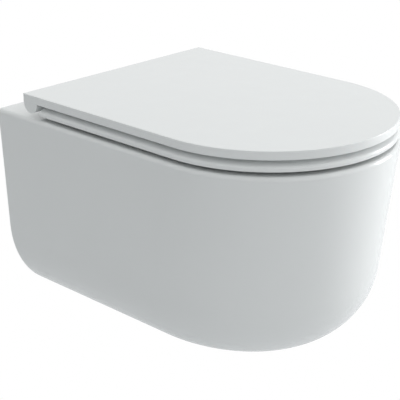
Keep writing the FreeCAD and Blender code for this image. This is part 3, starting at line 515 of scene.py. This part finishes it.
def make_pan():
    """The double skinned casting: shroud, bowl, trapway, outlet, inlet and the web that ties them."""
    pan = d_form("pan_casting", pan_rings(0, 0, 0.006), 0)
    combine(pan, [d_form("hollow", pan_rings(TOP_PLATE, PAN_WALL, 0), -0.005)], "DIFFERENCE")
    combine(pan, [
        block("web", (-0.054, -0.064, -0.2215), (0.054, -0.052, 0.073)),
        egg_form("bowl_outside", bowl_rings(TOP_PLATE / 2, 0.010, 0), BOWL_CENTRE),
        trap_form("trap_outside", 0.036, 0.050),
        pipe_end("spigot", 0.051, -0.060, -0.008, OUTLET_UP),
        pipe_end("socket", 0.0375, -0.058, -0.014, INLET_UP),
        rod("channel", 0.030, (0, -0.182, INLET_UP), 0.126, "y"),
    ], "UNION")
    # cut in this order, the five waterways leave a clean mesh
    cuts = [
        trap_form("trap_inside", 0.026, 0.0405),
        egg_form("bowl_inside", bowl_rings(0, 0, 0.007), BOWL_CENTRE),
        turned("outlet_bore", [(0, -0.0635), (0.042, -0.0635), (0.042, -0.010), (0.044, -0.007),
                               (0.044, 0.001), (0, 0.001)], (0, 0, OUTLET_UP), "y", 80),
        turned("inlet_bore", [(0, -0.060), (0.0275, -0.060), (0.0275, -0.017), (0.029, -0.0125),
                              (0.029, 0.001), (0, 0.001)], (0, 0, INLET_UP), "y", 80),
        rod("flush_bore", 0.020, (0, -0.187, INLET_UP), 0.130, "y", 56),
    ]
    for side in (-1, 1):
        cuts.append(turned("counterbore", [(0, 0.052), (0.007, 0.052), (0.007, 0.072), (0.0115, 0.072),
                                           (0.0115, 0.0795), (0.0122, 0.081), (0, 0.081)],
                           on_clamp(side * POST_ACROSS)))
    combine(pan, cuts, "DIFFERENCE")
    return smooth(pan)


# ---------------------------------------------------------------- seat and lid
SEAT_HALF = 0.180
SEAT_FRONT = 0.5285
SEAT_REAR, LID_REAR = 0.089, 0.0555
HOLE_HALF = 0.112
HOLE_FRONT = 0.466
HOLE_REAR = 0.190
SEAT_LOW, SEAT_TOP = 0.0861, 0.1003
LIP_TOP = 0.0926      # top of the upright lip at the ring's rim
FALL_WIDTH = 0.019    # width of the margin that falls away to the lip
LID_LOW, LID_TOP = 0.1018, 0.1135
ROLL_RADIUS = 0.01425


def seat_ring_at(level, inset):
    """The outline that seat and lid share, drawn in by an inset."""
    return level, SEAT_HALF - inset, SEAT_FRONT - SEAT_HALF, SEAT_FRONT - inset


def d_edge(name, low, top, inset, rear, rounding, under, steps):
    """A D slab with its upper edge rounded, and its lower edge eased if it has a measure under."""
    rings = [seat_ring_at(top, inset + rounding)]
    rings += round_off(rings[0], seat_ring_at(top, inset), seat_ring_at(top - rounding, inset), steps)
    if under:
        rings.append(seat_ring_at(low + under, inset))
        rings += round_off(rings[-1], seat_ring_at(low, inset), seat_ring_at(low, inset + under), 3)
    else:
        rings.append(seat_ring_at(low, inset))
    return d_form(name, rings, rear)


def hole_ring(level, outset):
    """The outline of the seat's hole, widened by an outset."""
    return level, HOLE_HALF + outset, HOLE_FRONT - HOLE_HALF, HOLE_REAR + HOLE_HALF


def seat_rim_rings():
    """The ring's outer side: a flat top that falls away to a rounded, upright lip."""
    def along_fall(share):
        return seat_ring_at(SEAT_TOP - (SEAT_TOP - LIP_TOP) * share, FALL_WIDTH * (1 - share))

    rings = [seat_ring_at(SEAT_TOP, FALL_WIDTH * 1.3)]
    rings += round_off(rings[0], along_fall(0), along_fall(0.25), 6)
    rings.append(along_fall(0.85))
    rings += round_off(rings[-1], along_fall(1), seat_ring_at(LIP_TOP - 0.0025, 0), 8)
    ease = 0.0012
    rings.append(seat_ring_at(SEAT_LOW + ease, 0))
    rings += round_off(rings[-1], seat_ring_at(SEAT_LOW, 0), seat_ring_at(SEAT_LOW, ease), 3)
    return rings


def make_seat():
    """Ring with a softly rounded rim and hole, grooved below for its buffers, with four hinge lugs."""
    seat = d_form("seat_ring_moulding", seat_rim_rings(), SEAT_REAR)
    rounding = 0.006
    flat = hole_ring(SEAT_TOP, rounding)
    rings = [hole_ring(SEAT_TOP + 0.004, rounding), flat]
    rings += round_off(flat, hole_ring(SEAT_TOP, 0), hole_ring(SEAT_TOP - rounding, 0), 8)
    rings.append(hole_ring(SEAT_LOW - 0.004, 0))
    groove = d_edge("groove", SEAT_LOW - 0.004, SEAT_LOW + 0.006, 0.012, 0.125, 0.002, 0, 4)
    island = slot_form("island", [hole_ring(SEAT_LOW + 0.012, 0.0125),
                                  hole_ring(SEAT_LOW - 0.008, 0.012)])
    combine(groove, [island], "DIFFERENCE")
    combine(seat, [groove], "DIFFERENCE")
    lugs = []
    notches = []
    for side in (-1, 1):
        middle = side * POST_ACROSS
        notches.append(block("notch", (middle - HUB_WIDTH / 2 - SIDE_GAP, -0.104, 0.07),
                             (middle + HUB_WIDTH / 2 + SIDE_GAP, -0.044, 0.13)))
        for way in (-1, 1):
            across = middle + way * (HUB_WIDTH / 2 + SIDE_GAP + LUG_WIDTH / 2)
            low, high = across - LUG_WIDTH / 2, across + LUG_WIDTH / 2
            lug = block("lug", (low + SHY, -0.101, 0.095), (high - SHY, -AXIS_BACK, SEAT_TOP - SHY))
            eye = turned("eye", [(0, 0), (0.0075, 0), (0.008, 0.0005), (0.008, LUG_WIDTH - 0.0005),
                                 (0.0075, LUG_WIDTH), (0, LUG_WIDTH)], on_axis(low), "x", 48)
            bore = rod("bore", BUSH_BORE, on_axis(low - 0.001), LUG_WIDTH + 0.002, "x", 48)
            combine(lug, [eye], "UNION")
            lugs.append(combine(lug, [bore], "DIFFERENCE"))
    combine(seat, notches, "DIFFERENCE")
    combine(seat, lugs, "UNION")
    combine(seat, [slot_form("hole", rings)], "DIFFERENCE")
    return smooth(seat)


def make_lid():
    """Slim lid with a crisp edge, hollowed below, and a half round roll slotted round the hinges."""
    lid = d_edge("lid_moulding", LID_LOW, LID_TOP, 0, LID_REAR, 0.001, 0.0006, 4)
    roll = rod("roll", ROLL_RADIUS - SHY, on_axis(SHY - SEAT_HALF), 2 * (SEAT_HALF - SHY), "x", 80)
    begin(roll)
    bpy.ops.mesh.select_all(action="SELECT")
    bpy.ops.mesh.bisect(plane_co=on_axis(0), plane_no=(0, 0, 1), use_fill=True, clear_outer=True)
    pick(roll, lambda at: at.z > AXIS_UP - NEAR)
    extrude(z=0.006)
    end(roll)
    combine(lid, [roll], "UNION")
    recess = d_edge("recess", LID_LOW - 0.004, LID_TOP - 0.0052, 0.016, 0.100, 0.003, 0, 6)
    combine(lid, [recess], "DIFFERENCE")
    cuts = []
    for side in (-1, 1):
        middle = side * POST_ACROSS
        low, high = middle - SLOT_HALF, middle + SLOT_HALF
        cuts.append(block("slot_rear", (low, -AXIS_BACK, 0.08), (high, -0.03, 0.110)))
        cuts.append(block("slot_front", (low, -0.098, 0.08), (high, -AXIS_BACK + 0.001, LID_LOW + SHY)))
        cuts.append(rod("eye_space", 0.0085, on_axis(low + SHY), 2 * (SLOT_HALF - SHY), "x", 48))
        for start in (low - 0.020, high - 0.001):
            cuts.append(rod("bore", BUSH_BORE, on_axis(start), 0.021, "x", 48))
    combine(lid, cuts, "DIFFERENCE")
    return smooth(lid)


# ---------------------------------------------------------------- fittings
EASE = 0.0004     # eased edge of a small turned piece


def washer(name, outer, inner, start, height, at, along, ease=EASE):
    """A flat ring with eased edges."""
    near, far = start, start + height
    return turned(name, [(inner, near), (outer - ease, near), (outer, near + ease), (outer, far - ease),
                         (outer - ease, far), (inner, far)], at, along)


def ridged(radius, depth, start, finish, pitch):
    """The section of a threaded stretch: one crest and one root for each turn of the thread."""
    count = max(1, round((finish - start) / pitch))
    step = (finish - start) / count
    section = []
    for turn in range(count):
        at = start + turn * step
        section += [(radius - depth, at + 0.10 * step), (radius, at + 0.45 * step),
                    (radius, at + 0.55 * step), (radius - depth, at + 0.90 * step)]
    return section


def join(name, pieces):
    """Make one object of several pieces that belong together."""
    bpy.ops.object.select_all(action="DESELECT")
    for piece in pieces:
        piece.select_set(True)
    bpy.context.view_layer.objects.active = pieces[0]
    bpy.ops.object.join()
    pieces[0].name = name
    return pieces[0]


def both_sides(name, make_one, across):
    return join(name, [make_one(side * across) for side in (-1, 1)])


def hex_nut(flats, height, bore, at, along):
    """A hexagon blank turned to a chamfer at both faces, with a countersunk bore."""
    corner = flats / 2 / math.cos(math.pi / 6)
    turn = (0, 0, math.pi / 6) if along == "z" else (math.pi / 2, 0, 0)
    middle = Vector(at) + (Vector((0, 0, height / 2)) if along == "z" else Vector((0, height / 2, 0)))
    nut = start_from("cylinder", "nut", vertices=6, radius=corner, depth=abs(height), location=middle,
                     rotation=turn)
    low, high = sorted((0, height))
    land, wide = flats / 2 * 0.97, corner + EASE
    drop = (corner - land) * math.tan(math.radians(30)) * 1.2
    # the chamfer's cone runs on past the blank's face, so that no two faces lie in one plane
    past = 0.001
    tip = land - (wide - land) * past / drop
    barrel = turned("barrel", [(0, low - past), (tip, low - past), (wide, low + drop),
                               (wide, high - drop), (tip, high + past), (0, high + past)], at, along, 90)
    combine(nut, [barrel], "INTERSECT")
    sink = 0.0007
    mouth = bore + sink + past
    nut_bore = turned("nut_bore", [(0, low - past), (mouth, low - past), (bore, low + sink),
                                   (bore, high - sink), (mouth, high + past), (0, high + past)],
                      at, along)
    combine(nut, [nut_bore], "DIFFERENCE")
    return smooth(nut)


def make_stud_washer(across):
    return smooth(washer("washer", 0.012, 0.0065, -0.0065, 0.0025, (across, 0, 0), "y"))


def make_stud_nut(across):
    return hex_nut(0.019, -0.010, 0.0061, (across, -0.0065, 0), "y")


def make_clamp_washer(across):
    return smooth(washer("washer", 0.011, 0.0053, 0.072, 0.0015, on_clamp(across), "z", 0.0003))


def make_clamp_screw(across):
    """Low round head over a threaded shank, bored and countersunk for the hinge stud."""
    ease, bore, head, top = 0.0008, PIN_BORE, 0.0095, 0.0795
    section = [(0, 0.063), (bore, 0.063), (bore, top - 0.0008), (bore + 0.0008, top)]
    section += [(head - ease, top), (head - 0.3 * ease, top - 0.3 * ease), (head, top - ease),
                (head, 0.0735 + EASE), (head - EASE, 0.0735), (0.005, 0.0735), (0.005, 0.0645)]
    section += list(reversed(ridged(0.005, 0.0006, 0.0508, 0.0640, 0.0013)))
    section += [(0.0042, 0.050), (0, 0.050)]
    return smooth(turned("screw", section, on_clamp(across)))


def make_clamp_nut(across):
    return hex_nut(0.017, 0.008, 0.00505, on_clamp(across, 0.054), "z")


def make_hinge_stud(across):
    """Threaded stud with a chamfered end."""
    section = [(0, 0.064), (0.0024, 0.064), (0.003, 0.0646)]
    section += ridged(0.003, 0.0004, 0.065, 0.0785, 0.001)
    section += [(0.003, 0.0790), (0.003, 0.0904), (0.0024, 0.091), (0, 0.091)]
    return smooth(turned("stud", section, on_clamp(across), "z", 48))


def make_gasket(across):
    return smooth(washer("gasket", 0.013, 0.0035, 0.080, 0.001, on_clamp(across), "z", 0.0003))


def make_post(side):
    """Cast post: a turned foot, an upright with rounded corners, and a tongue back to a turned hub."""
    middle = side * POST_ACROSS
    foot = turned("foot", [(0, 0.081), (0.0113, 0.081), (0.0118, 0.0813), (0.012, 0.0818),
                           (0.012, 0.0834), (0.0118, 0.0838), (0.0113, 0.084), (0, 0.084)],
                  on_clamp(middle), "z", 96)
    upright = block("upright", (middle - 0.012, -0.1009, 0.0825), (middle + 0.012, -0.088, 0.0998))
    round_edges(upright, lambda a, b: abs(a.z - b.z) > NEAR and max(a.y, b.y) < -0.1, 0.004, 8)
    inside_hub = HUB_WIDTH / 2 - SHY
    tongue = block("tongue", (middle - inside_hub, -0.101, 0.095),
                   (middle + inside_hub, -AXIS_BACK, SEAT_TOP))
    round_edges(tongue, lambda a, b: max(a.y, b.y) < -0.1, 0.0012, 5)
    ease, radius, half = 0.0006, 0.008, HUB_WIDTH / 2
    hub = turned("hub", [(0, -half), (radius - ease, -half), (radius - 0.3 * ease, -half + 0.3 * ease),
                         (radius, -half + ease), (radius, half - ease),
                         (radius - 0.3 * ease, half - 0.3 * ease), (radius - ease, half), (0, half)],
                 on_axis(middle), "x", 96)
    combine(foot, [upright, tongue, hub], "UNION")
    bore = 0.00665
    damper_bore = turned("damper_bore", [
        (0, -half - EASE), (bore + EASE, -half - EASE), (bore + EASE, -half), (bore, -half + EASE),
        (bore, half - EASE), (bore + EASE, half), (bore + EASE, half + EASE), (0, half + EASE)],
        on_axis(middle), "x")
    stud_bore = rod("stud_bore", PIN_BORE, on_clamp(middle, 0.080), 0.0115, "z", 48)
    combine(foot, [damper_bore, stud_bore], "DIFFERENCE")
    return smooth(foot)


def make_bush(start, length):
    """A bush on the hinge axis with its edges eased inside and out."""
    outer, inner = 0.0045, PIN_BORE
    section = [(inner + EASE / 2, 0), (outer - EASE, 0), (outer, EASE), (outer, length - EASE),
               (outer - EASE, length), (inner + EASE / 2, length), (inner, length - EASE / 2),
               (inner, EASE / 2)]
    return smooth(turned("bush", section, on_axis(start), "x", 48))


def make_bushes(near, length):
    """The four bushes of one body, a pair at each post, that start near its middle."""
    return join("bushes", [make_bush(side * POST_ACROSS + start, length)
                           for side in (-1, 1) for start in (-near - length, near)])


def make_damper(side):
    """Barrel of the soft closing damper: two end caps and a waist groove at each."""
    middle, half = side * POST_ACROSS, HUB_WIDTH / 2
    outer, inner, groove = 0.0066, PIN_BORE, 0.0003
    section = [(inner, -half), (outer - EASE, -half), (outer, -half + EASE)]
    for way in (-half + 0.005, half - 0.006):
        section += [(outer, way), (outer - groove, way + groove), (outer - groove, way + 0.001 - groove),
                    (outer, way + 0.001)]
    section += [(outer, half - EASE), (outer - EASE, half), (inner, half)]
    return smooth(turned("damper", section, on_axis(middle), "x"))


def make_pins(side):
    """The two stubs of a damper's shaft, with chamfered ends and an oil groove."""
    pins = []
    radius, length, ease, groove = 0.003, 0.032, 0.0005, 0.0003
    for start in (-0.010 - length, 0.010):
        mid = length / 2
        section = [(0, 0), (radius - ease, 0), (radius, ease), (radius, mid - 2 * groove),
                   (radius - groove, mid - groove), (radius - groove, mid + groove),
                   (radius, mid + 2 * groove), (radius, length - ease), (radius - ease, length),
                   (0, length)]
        pins.append(smooth(turned("pin", section, on_axis(side * POST_ACROSS + start), "x", 40)))
    return join("pins", pins)


def make_seat_buffers():
    """Soft feet: a body with a waist, a rounded sole and a dimple in it."""
    feet = []
    for across, setback in ((0.155, 0.230), (0.155, 0.3605)):
        for side in (-1, 1):
            section = [(0, 0.0921), (0.009, 0.0921), (0.009, 0.0862), (0.0085, 0.0858), (0.0085, 0.0850),
                       (0.009, 0.0846), (0.009, 0.0818), (0.0087, 0.0809), (0.0080, 0.0803),
                       (0.0072, 0.0802), (0.0035, 0.0802), (0.0028, 0.0806), (0, 0.0809)]
            feet.append(smooth(turned("foot", section, (side * across, -setback, 0), "z", 48), 50))
    return join("seat_feet", feet)


def make_lid_buffers():
    """Small domed stops pressed into the lid's hollow."""
    stops = []
    for across, setback in ((0.146, 0.230), (0.1032385, 0.4517385)):
        for side in (-1, 1):
            section = [(0, 0.1083), (0.006, 0.1083), (0.006, 0.1040), (0.0055, 0.1037),
                       (0.0055, 0.1031), (0.006, 0.1028), (0.0058, 0.1018), (0.0051, 0.1010),
                       (0.0038, 0.10055), (0.002, 0.1005), (0, 0.1005)]
            stops.append(smooth(turned("stop", section, (side * across, -setback, 0), "z", 40), 50))
    return join("lid_stops", stops)


def make_seal():
    """Moulded sleeve with a flange outside, a tapered mouth and three sealing lips in its bore."""
    bore, root = 0.0226, 0.0245
    section = [(0.0272, -0.0393), (0.0265, -0.040), (root, -0.040)]
    for way in (-0.0365, -0.0295, -0.0225):
        section += [(root, way), (bore, way + 0.0012), (bore, way + 0.0018), (root, way + 0.0045)]
    section += [(bore + 0.0008, -0.0150), (bore + 0.0008, -0.0130), (0.0248, -0.0115), (0.0300, -0.0115),
                (0.0305, -0.0120), (0.0305, -0.0135), (0.0300, -0.0140), (0.0272, -0.0140)]
    for way in (-0.021, -0.029, -0.037):
        section += [(0.0272, way + 0.0015), (0.0268, way + 0.0010), (0.0268, way + 0.0002),
                    (0.0272, way)]
    return smooth(turned("seal", section, (0, 0, INLET_UP), "y", 96), 40)


def make_hood():
    """Flush hood: a rounded box cut to the bowl's wall, hollow and open at its sides, on a spigot."""
    hood = block("hood", (-0.038, -0.196, 0.015), (0.038, -0.150, 0.055))
    round_edges(hood, lambda a, b: max(a.y, b.y) < -0.19 and abs(a.x - b.x) > NEAR, 0.003, 6)
    combine(hood, [egg_form("bowl_clearance", bowl_rings(0.005, -0.0004, 0), BOWL_CENTRE)], "INTERSECT")
    combine(hood, [block("chamber", (-0.043, -0.192, 0.019), (0.043, -0.120, 0.051))], "DIFFERENCE")
    spigot = turned("spigot", [
        (0.0159, -0.172), (0.0197, -0.172), (0.0197, -0.1385), (0.0193, -0.138), (0.0193, -0.137),
        (0.0197, -0.1365), (0.0197, -0.1308), (0.0190, -0.130), (0.0163, -0.130), (0.0159, -0.1303)],
        (0, 0, INLET_UP), "y", 80)
    return smooth(combine(hood, [spigot], "UNION"))


def make_bracket(side):
    """Folded sheet bracket: plate, arm and side flanges, with rounded folds and punched holes."""
    middle, half, plate, flange, top = side * 0.08375, 0.025, 0.004, 0.003, 0.066
    bracket = block("bracket", (middle - half, -0.112, -0.028), (middle + half, 0, top))
    begin(bracket)
    bpy.ops.mesh.select_all(action="SELECT")
    bpy.ops.mesh.bisect(plane_co=(0, -0.012, -0.028), plane_no=(0, -0.080, -0.100), use_fill=True,
                        clear_outer=True)
    end(bracket)

    def folded(a, b):
        on_arm, on_plate = min(a.z, b.z) > top - NEAR, min(a.y, b.y) > -NEAR
        return (on_arm or on_plate) and abs(a.x - b.x) < NEAR or on_arm and on_plate

    round_edges(bracket, folded, 0.0025, 5)
    inside = block("fold", (middle - half + flange, -0.13, -0.04),
                   (middle + half - flange, -plate, top - plate))
    stud_hole = rod("stud_hole", 0.0065, (side * STUD_ACROSS, -0.010, 0), 0.012, "y")
    clamp_hole = rod("clamp_hole", 0.0055, on_clamp(side * POST_ACROSS, 0.055), 0.013, "z")
    combine(bracket, [inside, stud_hole, clamp_hole], "DIFFERENCE")
    return smooth(bracket)


# ---------------------------------------------------------------- materials
def surface(name, light, dark, patch_mm, rough, rough_mm, relief_mm, grain_mm, index=None,
            drawn_out=(1, 1, 1)):
    """A material whose colour, roughness and relief each vary over the part at a real scale.

    Light and dark are the colours it drifts between over patches; rough is the range of roughness;
    relief and grain are the height and the width of its fine texture, drawn out along an axis where
    its scale there is under 1.  A metal has no index given.
    """
    material, tree = new_material(name)
    at = add_node(tree, "ShaderNodeTexCoord")
    along = add_node(tree, "ShaderNodeMapping", values={"Scale": drawn_out},
                     links={"Vector": at.outputs["Object"]})

    def noise(width_mm, detail):
        return add_node(tree, "ShaderNodeTexNoise",
                        values={"Scale": 1 / (width_mm * MM), "Detail": detail, "Roughness": 0.5},
                        links={"Vector": along.outputs[0]})

    patches = noise(patch_mm, 2.0)
    colour = add_node(tree, "ShaderNodeMix", {"data_type": "RGBA"},
                      links={"Factor": patches.outputs["Fac"]})
    colour.inputs[6].default_value = linear(dark)
    colour.inputs[7].default_value = linear(light)
    wear = noise(rough_mm, 3.0)
    sheen = add_node(tree, "ShaderNodeMapRange",
                     values={"From Min": 0.3, "From Max": 0.7, "To Min": rough[0], "To Max": rough[1]},
                     links={"Value": wear.outputs["Fac"]})
    grain = noise(grain_mm, 2.0)
    relief = add_node(tree, "ShaderNodeBump", values={"Strength": 1.0, "Distance": relief_mm * MM},
                      links={"Height": grain.outputs["Fac"]})
    shader = add_node(tree, "ShaderNodeBsdfPrincipled", links={
        "Base Color": colour.outputs[2], "Roughness": sheen.outputs[0], "Normal": relief.outputs[0]})
    if index:
        shader.inputs["IOR"].default_value = index
    else:
        shader.inputs["Metallic"].default_value = 1.0
    add_node(tree, "ShaderNodeOutputMaterial", links={"Surface": shader.outputs[0]})
    return material


def make_materials():
    """One material for each material slot, by the slot's name."""
    made = {}
    # Vitreous china, slip cast and sprayed with an opaque white glaze that flows out in the kiln:
    # a broad, barely visible waviness, and slow changes of whiteness where the glaze lies thicker.
    made["vitreous_china"] = surface("glazed_vitreous_china", "#e7e9e9", "#e4e6e6", 140, (0.055, 0.10),
                                     60, 0.012, 14, 1.52)
    # Thermoset resin, pressed in a polished steel tool and buffed at the edges: a satin gloss with a
    # very fine skin, softer where hands and cloths have rubbed it.
    made["seat_resin"] = surface("moulded_urea_resin", "#e7e9e9", "#e5e7e7", 90, (0.16, 0.26), 45,
                                 0.002, 1.6, 1.5)
    # Die cast zinc, polished and chromium plated: nearly a mirror, with faint buffing waves.
    made["hinge_metal"] = surface("polished_chrome_plate", "#c9cbce", "#bfc1c5", 12, (0.04, 0.11), 5,
                                  0.003, 4, drawn_out=(0.4, 1, 1))
    # Cold rolled steel sheet, folded and then zinc plated: a dull, cloudy grey with rolling marks.
    made["bracket_steel"] = surface("zinc_plated_steel_sheet", "#b4b8bb", "#9ba0a4", 9, (0.30, 0.48), 4,
                                    0.012, 0.9, drawn_out=(1, 1, 0.25))
    # Stainless bar, turned and rolled: a bright grey with tool marks round the axis.
    made["fastener_steel"] = surface("turned_stainless_steel", "#b6b6b4", "#a3a3a1", 5, (0.20, 0.34), 2,
                                     0.004, 0.35, drawn_out=(1, 1, 3))
    # Black acetal, turned from moulded rod: low sheen with a fine drag from the tool.
    made["damper_plastic"] = surface("black_acetal", "#222325", "#19191b", 6, (0.34, 0.46), 3,
                                     0.004, 0.5, 1.48)
    # Natural acetal, injection moulded: slightly translucent cream in reality, shown as a waxy white.
    made["bush_plastic"] = surface("natural_acetal", "#dedcd3", "#d3d1c7", 5, (0.28, 0.40), 3,
                                   0.003, 0.6, 1.48)
    # White polypropylene, injection moulded: waxy, with flow marks and slight sinks in its walls.
    made["hood_plastic"] = surface("white_polypropylene", "#e0e3e5", "#d7dbde", 22, (0.30, 0.42), 9,
                                   0.01, 3, 1.49)
    # Black EPDM, compression moulded: matt, with a bloom of wax that greys it in patches.
    made["seal_rubber"] = surface("black_epdm_rubber", "#1d1d1e", "#111112", 8, (0.55, 0.75), 4,
                                  0.02, 0.5, 1.5)
    # Pale thermoplastic elastomer, injection moulded in an etched tool: soft and matt.
    made["buffer_rubber"] = surface("pale_soft_elastomer", "#c9ccce", "#bec2c5", 7, (0.50, 0.66), 4,
                                    0.012, 0.4, 1.5)
    return made


# ---------------------------------------------------------------- the assembly
def place(piece, nodes_replaced, body, slot_name):
    """Give a finished piece its material and put it in the place of its CAD nodes."""
    piece.name = nodes_replaced[0] + "_made" if len(nodes_replaced) == 1 else "pan_casting"
    piece.data.materials.clear()
    piece.data.materials.append(materials[slot_name])
    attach(piece, body)
    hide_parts(*nodes_replaced)


def build():
    place(make_pan(), [name for name in nodes if name.startswith("pan_")], "pan", "vitreous_china")
    place(make_seal(), ["inlet_seal"], "pan", "seal_rubber")
    place(make_hood(), ["flush_distributor"], "pan", "hood_plastic")
    for node, make_one, across, slot_name in (
        ("stud_washers", make_stud_washer, STUD_ACROSS, "fastener_steel"),
        ("stud_nuts", make_stud_nut, STUD_ACROSS, "fastener_steel"),
        ("clamp_washers", make_clamp_washer, POST_ACROSS, "fastener_steel"),
        ("clamp_screws", make_clamp_screw, POST_ACROSS, "fastener_steel"),
        ("clamp_nuts", make_clamp_nut, POST_ACROSS, "fastener_steel"),
        ("hinge_studs", make_hinge_stud, POST_ACROSS, "fastener_steel"),
        ("post_gaskets", make_gasket, POST_ACROSS, "buffer_rubber"),
    ):
        place(both_sides(node, make_one, across), [node], "pan", slot_name)
    for name, side in (("left", -1), ("right", 1)):
        place(make_bracket(side), [f"wall_bracket_{name}"], "pan", "bracket_steel")
        place(make_post(side), [f"hinge_post_{name}"], "pan", "hinge_metal")
        place(make_damper(side), [f"rotary_damper_{name}"], "pan", "damper_plastic")
    place(make_seat(), ["seat_ring"], "seat", "seat_resin")
    place(make_seat_buffers(), ["seat_buffers"], "seat", "buffer_rubber")
    place(make_bushes(HUB_WIDTH / 2 + SIDE_GAP, LUG_WIDTH), ["lug_bushes"], "seat", "bush_plastic")
    place(make_pins(1), ["seat_hinge_pins"], "seat", "fastener_steel")
    place(make_lid(), ["lid"], "lid", "seat_resin")
    place(make_lid_buffers(), ["lid_buffers"], "lid", "buffer_rubber")
    place(make_bushes(SLOT_HALF, 0.020), ["roll_bushes"], "lid", "bush_plastic")
    place(make_pins(-1), ["lid_hinge_pins"], "lid", "fastener_steel")


make_studio()
materials = make_materials()
build()
